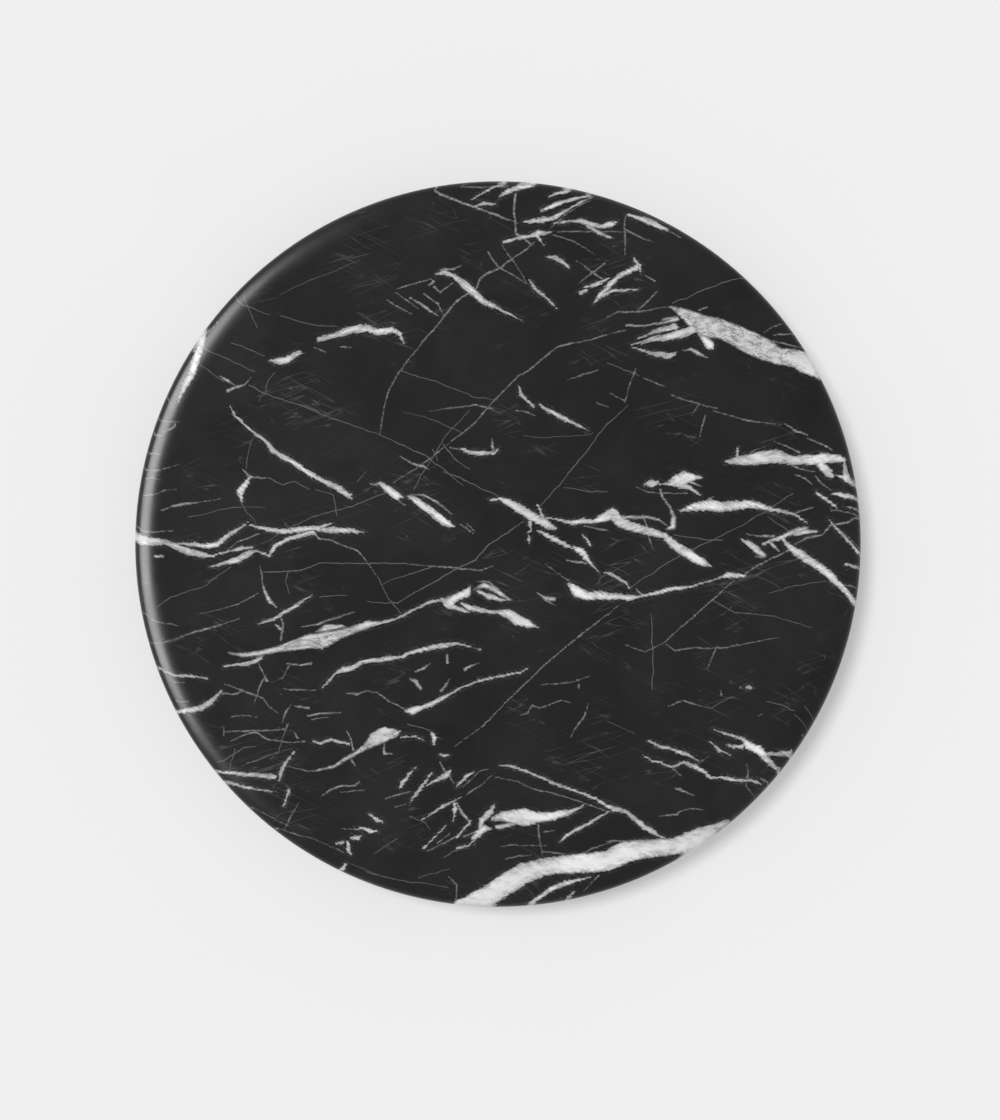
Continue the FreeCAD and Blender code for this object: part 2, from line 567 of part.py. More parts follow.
def make_cage_segment(index):
    """One moulded strip of the ball cage: a third of a thin band with a hole for each of its balls."""
    body = new_body(f"cage_segment_{index + 1}")
    sketch = upright_sketch(body, "BandOutline")
    hole_radius = f"{BALL_RADIUS} + Sizes.cage_hole_gap"
    half, rise = "Sizes.cage_thickness / 2", f"({hole_radius} + Sizes.cage_lip)"
    draw_outline(sketch, ring(f"{BALL_PLACE} - {half}", f"{BALL_PLACE} + {half}", f"{BALL_PLANE} - {rise}",
                              f"{BALL_PLANE} + {rise}"))
    band = body.newObject("PartDesign::Revolution", "Band")
    band.Profile = sketch
    band.ReferenceAxis = (sketch, ["V_Axis"])
    band.Midplane = True
    joint_angle = "360 * Sizes.cage_joint_gap / (pi * Sizes.ball_circle)"
    band.setExpression("Angle", f"360 / Sizes.cage_segments - {joint_angle}")
    doc.recompute()
    hole_sketch = body.newObject("Sketcher::SketchObject", "HoleOutline")
    hole_sketch.AttachmentSupport = [(datum(body, "YZ_Plane"), "")]
    hole_sketch.MapMode = "FlatFace"
    hole_sketch.AttachmentOffset = Placement(Vector(), Rotation(Vector(0, -1, 0), 1))
    holes_span = f"{BALL_PITCH} * (Sizes.balls_per_segment - 1)"
    hole_sketch.setExpression("AttachmentOffset.Rotation.Angle", f"{holes_span} / 2")
    centre = Vector(0, number(BALL_PLANE), 0)
    hole_sketch.addGeometry(Part.Circle(centre, Vector(0, 0, 1), number(hole_radius)), False)
    hole_sketch.addConstraint(Sketcher.Constraint("PointOnObject", 0, 3, -2))
    made = hole_sketch.addConstraint(Sketcher.Constraint("DistanceY", -1, 1, 0, 3, number(BALL_PLANE)))
    hole_sketch.setExpression(f"Constraints[{made}]", BALL_PLANE)
    made = hole_sketch.addConstraint(Sketcher.Constraint("Radius", 0, number(hole_radius)))
    hole_sketch.setExpression(f"Constraints[{made}]", hole_radius)
    hole = body.newObject("PartDesign::Pocket", "BallHole")
    hole.Profile = hole_sketch
    hole.Reversed = True
    hole.setExpression("Length", f"{BALL_PLACE} + Sizes.ball_diameter")
    repeated(body, "BallHoles", [hole], size("balls_per_segment"), holes_span)
    spin_body(body, f"{index} * 360 / Sizes.cage_segments + {BALL_PITCH} * Sizes.balls_per_segment / 2")
    return body


def make_base_housing():
    """Turned housing: floor with an open middle, a shoulder for the race and a thin outer wall."""
    body = new_body("base_housing")
    wall_top = f"({STONE_BOTTOM} - Sizes.running_gap)"
    wall_inside = f"({HOUSING_EDGE} - Sizes.housing_wall)"
    shoulder = f"({OUTER_RACE_EDGE} + Sizes.race_seat_gap)"
    shoulder_top = f"({FLOOR_TOP} + Sizes.shoulder_height)"
    corners = [
        (LEDGE_OUTSIDE, HOUSING_BOTTOM), (HOUSING_EDGE, HOUSING_BOTTOM), (HOUSING_EDGE, wall_top),
        (wall_inside, wall_top), (wall_inside, shoulder_top), (shoulder, shoulder_top), (shoulder, FLOOR_TOP),
        (LEDGE_INSIDE, FLOOR_TOP), (LEDGE_INSIDE, COVER_TOP), (LEDGE_OUTSIDE, COVER_TOP),
    ]
    housing = turned(body, "Housing", corners)
    rim_edges = [(HOUSING_EDGE, wall_top), (wall_inside, wall_top)]
    rim = eased(body, "Rim", housing, size("rim_round"), rim_edges, "Fillet")
    foot = eased(body, "FootRound", rim, size("foot_round"), [(HOUSING_EDGE, HOUSING_BOTTOM)], "Fillet")
    eased(body, "StepMouth", foot, size("cover_ease"), [(LEDGE_OUTSIDE, HOUSING_BOTTOM)])
    pad = "(Sizes.foot_diameter / 2 + Sizes.foot_gap)"
    stem = "(Sizes.foot_stem_diameter / 2 + Sizes.foot_gap)"
    seat = [("0", HOUSING_BOTTOM), (pad, HOUSING_BOTTOM), (pad, FOOT_TOP), (stem, FOOT_TOP),
            (stem, FLOOR_TOP), ("0", FLOOR_TOP)]
    bored(body, "FootSeat", seat, FOOT_PLACE, size("foot_count"), size("foot_turn"))
    blind_end = f"{OUTER_SCREW_TIP} - Sizes.thread_end_gap"
    thread = column("(Sizes.race_screw_diameter / 2 + Sizes.thread_gap)", blind_end, FLOOR_TOP)
    bored(body, "RaceThread", thread, OUTER_SCREW_PLACE, size("race_screw_count"))
    thread = column("(Sizes.cover_screw_diameter / 2 + Sizes.thread_gap)", COVER_TOP, FLOOR_TOP)
    bored(body, "CoverThread", thread, BALL_PLACE, size("cover_screw_count"))
    return body


def make_bottom_cover():
    """Sheet disc let into the underside, which closes the open middle."""
    body = new_body("bottom_cover")
    disc = turned(body, "Disc", column(COVER_EDGE, HOUSING_BOTTOM, COVER_TOP))
    eased(body, "Edge", disc, size("cover_ease"), [(COVER_EDGE, HOUSING_BOTTOM)])
    head = "(Sizes.cover_screw_head / 2 + Sizes.sink_gap)"
    shank = "(Sizes.cover_screw_diameter / 2 + Sizes.hole_gap)"
    hole = countersunk(head, shank, HOUSING_BOTTOM, COVER_TOP)
    bored(body, "ScrewHole", hole, BALL_PLACE, size("cover_screw_count"))
    return body


def make_cover_screws():
    """Countersunk screws that hold the cover to the housing."""
    body = new_body("cover_screws")
    head, shank = "Sizes.cover_screw_head / 2", "Sizes.cover_screw_diameter / 2"
    tip = f"{FLOOR_TOP} - Sizes.cover_screw_short"
    screw = turned(body, "Screw", countersunk(head, shank, HOUSING_BOTTOM, tip), centre=BALL_PLACE)
    depth = "Sizes.cover_screw_key / 2"
    socket = hex_socket(body, "Key", BALL_PLACE, size("cover_screw_key"), HOUSING_BOTTOM, depth)
    repeated(body, "Screws", [screw, socket], size("cover_screw_count"))
    return body


def make_foot_pad(index):
    """Rubber foot: a bevelled pad let into the housing, held by a stem through its floor."""
    body = new_body(f"foot_pad_{index + 1}")
    pad, stem = "Sizes.foot_diameter / 2", "Sizes.foot_stem_diameter / 2"
    top = f"{FLOOR_TOP} - Sizes.foot_stem_short"
    corners = [("0", "0"), (f"{pad} - Sizes.foot_bevel", "0"), (pad, size("foot_bevel")), (pad, FOOT_TOP),
               (stem, FOOT_TOP), (stem, top), ("0", top)]
    turned(body, "Pad", corners, centre=FOOT_PLACE)
    spin_body(body, f"{size('foot_turn')} + {index} * 360 / {size('foot_count')}")
    return body


def check_document(parts):
    """Stops the build if any object failed to recompute or any sub-part has no valid shape."""
    doc.recompute()
    failed = [o.Name for o in doc.Objects if {"Invalid", "Error"} & set(o.State)]
    if failed:
        raise RuntimeError(f"these objects did not recompute: {failed}")
    for body in parts:
        if body.Shape.isNull() or not body.Shape.isValid() or body.Shape.Volume <= 0:
            raise RuntimeError(f"{body.Label} has no valid shape")


bodies = [
    make_marble_top(), make_threaded_inserts(), make_plate_gasket(), make_top_plate(), make_plate_screws(),
    make_inner_race(), make_inner_race_screws(), make_outer_race_lower(), make_outer_race_upper(),
    make_race_dowels(), make_outer_race_screws(), make_bearing_balls(), make_base_housing(),
    make_bottom_cover(), make_cover_screws(),
]
bodies += [make_cage_segment(index) for index in range(int(number(size("cage_segments"))))]
bodies += [make_foot_pad(index) for index in range(int(number(size("foot_count"))))]
check_document(bodies)
os.makedirs("parts", exist_ok=True)
for body in bodies:
    body.Shape.exportStep(f"parts/{body.Label}.step")
    print(f"{body.Label}: {len(body.Shape.Solids)} solids, {body.Shape.Volume:.1f} mm3")
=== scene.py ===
# Lazy susan turntable: a marble disc on a low brass base, turning on a ball bearing ring.
import math

import bpy
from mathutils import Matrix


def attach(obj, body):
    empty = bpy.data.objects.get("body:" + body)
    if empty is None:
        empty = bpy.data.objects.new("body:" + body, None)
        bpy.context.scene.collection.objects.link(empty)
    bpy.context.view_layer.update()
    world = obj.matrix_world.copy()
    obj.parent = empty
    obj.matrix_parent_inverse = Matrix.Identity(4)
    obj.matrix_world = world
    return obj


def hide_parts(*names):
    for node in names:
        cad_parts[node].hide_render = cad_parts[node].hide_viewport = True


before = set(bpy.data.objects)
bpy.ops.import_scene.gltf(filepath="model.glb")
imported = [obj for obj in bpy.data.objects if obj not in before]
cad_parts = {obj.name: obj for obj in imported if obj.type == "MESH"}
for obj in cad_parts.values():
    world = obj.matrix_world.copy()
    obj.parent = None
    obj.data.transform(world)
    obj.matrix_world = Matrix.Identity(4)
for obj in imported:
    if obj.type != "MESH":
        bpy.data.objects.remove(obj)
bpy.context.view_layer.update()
bpy.ops.object.select_all(action="DESELECT")

# ---------------------------------------------------------------- base housing
# The low round housing is turned from solid brass and left with fine lathe lines
# on its wall and its inner steps. Its rim is rubbed brighter.


def new_finish(name, metallic=0.0):
    """A material with its shader and its output, and the piece's own place in millimetres."""
    finish = bpy.data.materials.new(name)
    finish.use_nodes = True
    tree = finish.node_tree
    shader = tree.nodes["Principled BSDF"]
    shader.inputs["Metallic"].default_value = metallic
    place = tree.nodes.new("ShaderNodeTexCoord").outputs["Object"]
    return finish, tree, shader, vector_node(tree, "SCALE", place, scale=1000.0)


def new_group(name, takes, gives):
    """A node group with named inputs and outputs, given as (name, kind, value)."""
    group = bpy.data.node_groups.new(name, "ShaderNodeTree")
    for label, kind, value in takes:
        socket = group.interface.new_socket(
            label, in_out="INPUT", socket_type="NodeSocket" + kind
        )
        if value is not None:
            socket.default_value = value
    for label, kind in gives:
        group.interface.new_socket(
            label, in_out="OUTPUT", socket_type="NodeSocket" + kind
        )
    return group, group.nodes.new("NodeGroupInput"), group.nodes.new("NodeGroupOutput")


def math_node(tree, operation, *values, clamp=False):
    """A Math node; each value is a number or the socket it comes from."""
    node = tree.nodes.new("ShaderNodeMath")
    node.operation = operation
    node.use_clamp = clamp
    for socket, value in zip(node.inputs, values):
        if isinstance(value, (int, float)):
            socket.default_value = value
        else:
            tree.links.new(value, socket)
    return node.outputs[0]


def vector_node(tree, operation, *values, scale=None):
    """A Vector Math node; each value is a triple or the socket it comes from."""
    node = tree.nodes.new("ShaderNodeVectorMath")
    node.operation = operation
    for socket, value in zip(node.inputs, values):
        if isinstance(value, tuple):
            socket.default_value = value
        else:
            tree.links.new(value, socket)
    if isinstance(scale, float):
        node.inputs["Scale"].default_value = scale
    elif scale is not None:
        tree.links.new(scale, node.inputs["Scale"])
    gives_number = operation in ("DISTANCE", "DOT_PRODUCT", "LENGTH")
    return node.outputs["Value" if gives_number else "Vector"]


def axes_of(tree, point):
    """The X, Y and Z of a point, each as a socket."""
    node = tree.nodes.new("ShaderNodeSeparateXYZ")
    tree.links.new(point, node.inputs[0])
    return node.outputs


def noise_node(tree, point, scale, detail=3.0, roughness=0.5, distortion=0.0):
    """A Noise Texture on a point in millimetres, with its scale in features per millimetre."""
    node = tree.nodes.new("ShaderNodeTexNoise")
    node.inputs["Scale"].default_value = scale
    node.inputs["Detail"].default_value = detail
    node.inputs["Roughness"].default_value = roughness
    node.inputs["Distortion"].default_value = distortion
    tree.links.new(point, node.inputs["Vector"])
    return node


def turned_point(tree, point, angle, stretch, offset=(0.0, 0.0, 0.0)):
    """The point turned about Z by an angle in degrees and squeezed along each axis."""
    node = tree.nodes.new("ShaderNodeMapping")
    node.vector_type = "TEXTURE"
    node.inputs["Location"].default_value = offset
    node.inputs["Rotation"].default_value = (0.0, 0.0, math.radians(angle))
    node.inputs["Scale"].default_value = stretch
    tree.links.new(point, node.inputs["Vector"])
    return node.outputs["Vector"]


def step_between(tree, value, low, high, low_out=0.0, high_out=1.0):
    """A smooth step of a value from one level to another."""
    node = tree.nodes.new("ShaderNodeMapRange")
    node.interpolation_type = "SMOOTHSTEP"
    for label, number in (
        ("From Min", low),
        ("From Max", high),
        ("To Min", low_out),
        ("To Max", high_out),
    ):
        node.inputs[label].default_value = number
    tree.links.new(value, node.inputs["Value"])
    return node.outputs["Result"]


def colour_between(tree, factor, first, second):
    """A colour between two, each a triple or the socket it comes from."""
    node = tree.nodes.new("ShaderNodeMix")
    node.data_type = "RGBA"
    tree.links.new(factor, node.inputs["Factor"])
    for socket, colour in ((node.inputs[6], first), (node.inputs[7], second)):
        if isinstance(colour, tuple):
            socket.default_value = (*colour, 1.0)
        else:
            tree.links.new(colour, socket)
    return node.outputs[2]


def use_group(tree, group, point, **values):
    """A node group placed in a material, with its own values."""
    node = tree.nodes.new("ShaderNodeGroup")
    node.node_tree = group
    tree.links.new(point, node.inputs["Point"])
    for label, value in values.items():
        socket = node.inputs[label.replace("_", " ")]
        if isinstance(value, tuple):
            value = (*value, 1.0)
        socket.default_value = value
    return node


def raise_surface(tree, shader, height, depth):
    """A Bump node on the shader's normal, with its depth in metres."""
    bump = tree.nodes.new("ShaderNodeBump")
    bump.inputs["Strength"].default_value = 1.0
    bump.inputs["Distance"].default_value = depth
    tree.links.new(height, bump.inputs["Height"])
    tree.links.new(bump.outputs["Normal"], shader.inputs["Normal"])


def dress(finish, *names):
    """Gives CAD parts their finish."""
    for name in names:
        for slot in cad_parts[name].material_slots:
            slot.material = finish


# Lathe lines: fine rings about the turning axis, uneven in depth, with a softer
# band every few lines where the tool was fed again.
lathe_lines, rings_in, rings_out = new_group(
    "lathe lines",
    [("Point", "Vector", None), ("Pitch", "Float", 0.5)],
    [("Height", "Float"), ("Shade", "Float")],
)
flat = vector_node(lathe_lines, "MULTIPLY", rings_in.outputs["Point"], (1.0, 1.0, 0.0))
travel = math_node(
    lathe_lines,
    "DIVIDE",
    math_node(
        lathe_lines,
        "ADD",
        vector_node(lathe_lines, "LENGTH", flat),
        axes_of(lathe_lines, rings_in.outputs["Point"])["Z"],
    ),
    rings_in.outputs["Pitch"],
)
for label, scale, detail in (("Height", 1.0, 3.0), ("Shade", 0.07, 2.0)):
    rings = lathe_lines.nodes.new("ShaderNodeTexNoise")
    rings.noise_dimensions = "1D"
    rings.inputs["Scale"].default_value = scale
    rings.inputs["Detail"].default_value = detail
    lathe_lines.links.new(travel, rings.inputs["W"])
    lathe_lines.links.new(rings.outputs["Fac"], rings_out.inputs[label])

# Handling: a soft clouding of a metal's colour and shine where it was touched,
# washed and wiped, with small darker specks.
handling, touch_in, touch_out = new_group(
    "handling",
    [
        ("Point", "Vector", None),
        ("Clean", "Color", (0.8, 0.8, 0.8, 1.0)),
        ("Dull", "Color", (0.6, 0.6, 0.6, 1.0)),
        ("Shine", "Float", 0.2),
        ("Haze", "Float", 0.4),
    ],
    [("Colour", "Color"), ("Roughness", "Float")],
)
cloud = noise_node(handling, touch_in.outputs["Point"], 0.06, 5.0, 0.6, 0.4)
speck = noise_node(handling, touch_in.outputs["Point"], 1.6, 2.0, 0.5)
clouded = math_node(
    handling,
    "MULTIPLY_ADD",
    step_between(handling, speck.outputs["Fac"], 0.58, 0.72),
    0.35,
    step_between(handling, cloud.outputs["Fac"], 0.35, 0.68),
    clamp=True,
)
handling.links.new(
    colour_between(
        handling, clouded, touch_in.outputs["Clean"], touch_in.outputs["Dull"]
    ),
    touch_out.inputs["Colour"],
)
handling.links.new(
    math_node(
        handling,
        "MULTIPLY_ADD",
        clouded,
        math_node(
            handling, "SUBTRACT", touch_in.outputs["Haze"], touch_in.outputs["Shine"]
        ),
        touch_in.outputs["Shine"],
    ),
    touch_out.inputs["Roughness"],
)


def metal_finish(name, clean, dull, shine, haze, pitch, depth):
    """A turned or ground metal, with its handling and its lathe lines."""
    finish, tree, shader, point = new_finish(name, metallic=1.0)
    touched = use_group(
        tree, handling, point, Clean=clean, Dull=dull, Shine=shine, Haze=haze
    )
    tree.links.new(touched.outputs["Colour"], shader.inputs["Base Color"])
    tree.links.new(touched.outputs["Roughness"], shader.inputs["Roughness"])
    lines = use_group(tree, lathe_lines, point, Pitch=pitch)
    raise_surface(tree, shader, lines.outputs["Height"], depth)
    return finish, tree, shader, point, touched, lines


brass, tree, shader, point, touched, lines = metal_finish(
    "housing brass",
    clean=(0.76, 0.53, 0.22),
    dull=(0.56, 0.36, 0.13),
    shine=0.24,
    haze=0.4,
    pitch=0.35,
    depth=0.00003,
)
rubbed = math_node(
    tree,
    "MULTIPLY",
    step_between(tree, axes_of(tree, point)["Z"], 16.6, 17.8),
    step_between(tree, noise_node(tree, point, 0.35, 3.0).outputs["Fac"], 0.35, 0.6),
)
banded = colour_between(
    tree,
    step_between(tree, lines.outputs["Shade"], 0.35, 0.7, 0.0, 0.5),
    touched.outputs["Colour"],
    (0.66, 0.44, 0.17),
)
tree.links.new(
    colour_between(tree, rubbed, banded, (0.86, 0.66, 0.34)),
    shader.inputs["Base Color"],
)
dress(brass, "base_housing")

# ---------------------------------------------------------------- rubber feet
# Six moulded rubber pads stand under the housing. A stem on each is pressed up
# into a blind hole, and the foot of the pad is dusty where it touches the table.
moulded_grain, grain_in, grain_out = new_group(
    "moulded grain",
    [("Point", "Vector", None), ("Grain", "Float", 2.5)],
    [("Height", "Float"), ("Shade", "Float")],
)
pebble = noise_node(moulded_grain, grain_in.outputs["Point"], 2.5, 3.0, 0.6)
moulded_grain.links.new(grain_in.outputs["Grain"], pebble.inputs["Scale"])
moulded_grain.links.new(pebble.outputs["Fac"], grain_out.inputs["Height"])
drift = noise_node(moulded_grain, grain_in.outputs["Point"], 0.12, 4.0, 0.6, 0.5)
moulded_grain.links.new(drift.outputs["Fac"], grain_out.inputs["Shade"])


def moulded_finish(name, deep, pale, low, high, grain, depth):
    """A moulded, sprayed or rubber surface: moulded grain with its colour drifting."""
    finish, tree, shader, point = new_finish(name)
    grained = use_group(tree, moulded_grain, point, Grain=grain)
    shade = step_between(tree, grained.outputs["Shade"], 0.3, 0.7)
    tree.links.new(
        colour_between(tree, shade, deep, pale), shader.inputs["Base Color"]
    )
    tree.links.new(
        math_node(tree, "MULTIPLY_ADD", shade, high - low, low),
        shader.inputs["Roughness"],
    )
    raise_surface(tree, shader, grained.outputs["Height"], depth)
    return finish, tree, shader, point, shade


rubber_deep, rubber_pale = (0.018, 0.018, 0.018), (0.034, 0.033, 0.032)
rubber, tree, shader, point, shade = moulded_finish(
    "foot rubber", rubber_deep, rubber_pale, 0.62, 0.8, 2.2, 0.00008
)
dusty = math_node(
    tree,
    "MULTIPLY",
    step_between(tree, axes_of(tree, point)["Z"], 1.0, 0.1),
    step_between(tree, noise_node(tree, point, 0.9, 4.0).outputs["Fac"], 0.4, 0.62),
)
tree.links.new(
    colour_between(
        tree,
        dusty,
        colour_between(tree, shade, rubber_deep, rubber_pale),
        (0.13, 0.12, 0.11),
    ),
    shader.inputs["Base Color"],
)
for number in range(1, 7):
    dress(rubber, f"foot_pad_{number}")

# ---------------------------------------------------------------- bearing ring
# The bearing's inner ring and the two halves of its outer ring are turned from
# aluminium and clear anodised, so they are pale, satin and a little warm.
race, *_ = metal_finish(
    "race aluminium",
    clean=(0.78, 0.78, 0.77),
    dull=(0.62, 0.62, 0.61),
    shine=0.3,
    haze=0.42,
    pitch=0.22,
    depth=0.00002,
)
dress(race, "inner_race", "outer_race_lower", "outer_race_upper")

# ---------------------------------------------------------------- balls
# Thirty hardened steel balls are ground and lapped bright. They carry a thin
# film of grease, which clouds them slightly.
ball_steel, tree, shader, point = new_finish("ball steel", metallic=1.0)
greased = use_group(
    tree,
    handling,
    point,
    Clean=(0.72, 0.72, 0.73),
    Dull=(0.5, 0.48, 0.42),
    Shine=0.07,
    Haze=0.26,
)
tree.links.new(greased.outputs["Colour"], shader.inputs["Base Color"])
tree.links.new(greased.outputs["Roughness"], shader.inputs["Roughness"])
dress(ball_steel, "bearing_balls")

# ---------------------------------------------------------------- ball cage
# Three thin strips of moulded nylon, hooked end to end, keep the balls apart.
# The nylon is natural white and slightly waxy, with a fine moulded grain.
nylon, *_ = moulded_finish(
    "cage nylon", (0.62, 0.6, 0.53), (0.74, 0.72, 0.66), 0.36, 0.5, 1.4, 0.00004
)
dress(nylon, "cage_segment_1", "cage_segment_2", "cage_segment_3")

# ---------------------------------------------------------------- screws and dowels
# The screws are alloy steel, oiled black after hardening, and the two dowels are
# the same steel. The black is clouded where they were handled.
screw_steel, *_ = metal_finish(
    "screw steel",
    clean=(0.2, 0.2, 0.205),
    dull=(0.1, 0.098, 0.095),
    shine=0.3,
    haze=0.48,
    pitch=0.3,
    depth=0.00002,
)
dress(
    screw_steel,
    "plate_screws",
    "inner_race_screws",
    "outer_race_screws",
    "cover_screws",
    "race_dowels",
)

# ---------------------------------------------------------------- top plate
# The ring plate that carries the stone is cut from steel sheet, turned flat on
# both faces and zinc plated, which leaves it a cool grey with a faint bloom.
plate_steel, *_ = metal_finish(
    "plate steel",
    clean=(0.6, 0.61, 0.63),
    dull=(0.45, 0.46, 0.5),
    shine=0.28,
    haze=0.46,
    pitch=0.5,
    depth=0.00003,
)
dress(plate_steel, "top_plate")

# ---------------------------------------------------------------- gasket
# A thin ring of black sheet rubber lies between the plate and the stone, so the
# steel never bears on it. It is cut from a calendered sheet with a fine grain.
gasket, *_ = moulded_finish(
    "gasket rubber", (0.014, 0.014, 0.015), (0.028, 0.028, 0.028), 0.7, 0.84, 3.0, 0.00006
)
dress(gasket, "plate_gasket")

# ---------------------------------------------------------------- threaded inserts
# Six brass inserts are glued into blind holes in the stone to take the plate's
# screws. They are left as machined.
insert_brass, *_ = metal_finish(
    "insert brass",
    clean=(0.72, 0.52, 0.24),
    dull=(0.52, 0.36, 0.15),
    shine=0.26,
    haze=0.42,
    pitch=0.25,
    depth=0.00003,
)
dress(insert_brass, "threaded_inserts")

# ---------------------------------------------------------------- bottom cover
# The sheet steel disc that closes the underside is sprayed with black powder
# paint, baked to a fine even texture.
cover_paint, *_ = moulded_finish(
    "cover paint", (0.022, 0.022, 0.023), (0.034, 0.034, 0.035), 0.46, 0.58, 1.8, 0.00009
)
dress(cover_paint, "bottom_cover")

# ---------------------------------------------------------------- marble top
# The turning disc is one slab of black marble, ground, rounded over at its edge
# and honed to a soft polish. White calcite fills its old cracks: thick veins,
# thin grey ones, and hairlines between them.
far_outside = -99.0

# One straight run of a vein: how deep inside it a point is, or how deep inside the
# runs before it, whichever is more. Each node is made after the ones it reads, and
# a Clamp node holds the share, or the runs of a square outgrow a renderer's memory.
vein_run, run_in, run_out = new_group(
    "vein run",
    [
        ("Point", "Vector", None),
        ("Depth", "Float", far_outside),
        ("Start", "Vector", None),
        ("Run", "Vector", None),
        ("Along", "Vector", None),
        ("Half width", "Float", 1.0),
        ("Growth", "Float", 0.0),
    ],
    [("Depth", "Float")],
)
from_start = vector_node(
    vein_run, "SUBTRACT", run_in.outputs["Point"], run_in.outputs["Start"]
)
share = vector_node(vein_run, "DOT_PRODUCT", from_start, run_in.outputs["Along"])
held = vein_run.nodes.new("ShaderNodeClamp")
vein_run.links.new(share, held.inputs["Value"])
part_way = held.outputs["Result"]
nearest = vector_node(vein_run, "SCALE", run_in.outputs["Run"], scale=part_way)
away = vector_node(vein_run, "DISTANCE", from_start, nearest)
half_width = math_node(
    vein_run,
    "MULTIPLY_ADD",
    part_way,
    run_in.outputs["Growth"],
    run_in.outputs["Half width"],
)
vein_run.links.new(
    math_node(
        vein_run,
        "MAXIMUM",
        run_in.outputs["Depth"],
        math_node(vein_run, "SUBTRACT", half_width, away),
    ),
    run_out.inputs["Depth"],
)


def vein_set(name, runs):
    """A group of veins: how deep inside its nearest vein a point is, in millimetres."""
    group, taken, given = new_group(
        name, [("Point", "Vector", None)], [("Depth", "Float")]
    )
    given.inputs["Depth"].default_value = far_outside
    depth = None
    for (x, y, width), (end_x, end_y, end_width) in runs:
        run = group.nodes.new("ShaderNodeGroup")
        run.node_tree = vein_run
        across, up = end_x - x, end_y - y
        squared = across * across + up * up
        run.inputs["Start"].default_value = (x, y, 0.0)
        run.inputs["Run"].default_value = (across, up, 0.0)
        run.inputs["Along"].default_value = (across / squared, up / squared, 0.0)
        run.inputs["Half width"].default_value = width / 2.0
        run.inputs["Growth"].default_value = (end_width - width) / 2.0
        group.links.new(taken.outputs["Point"], run.inputs["Point"])
        if depth is not None:
            group.links.new(depth, run.inputs["Depth"])
        depth = run.outputs["Depth"]
    if depth is not None:
        group.links.new(depth, given.inputs["Depth"])
    return group


def runs_near(courses, left, front, size, margin=16.0):
    """The straight runs of the veins that pass through a square of the slab, or near it."""
    return [
        (start, end)
        for course in courses
        for start, end in zip(course, course[1:])
        if min(start[0], end[0]) < left + size + margin
        and max(start[0], end[0]) > left - margin
        and min(start[1], end[1]) < front + size + margin
        and max(start[1], end[1]) > front - margin
    ]


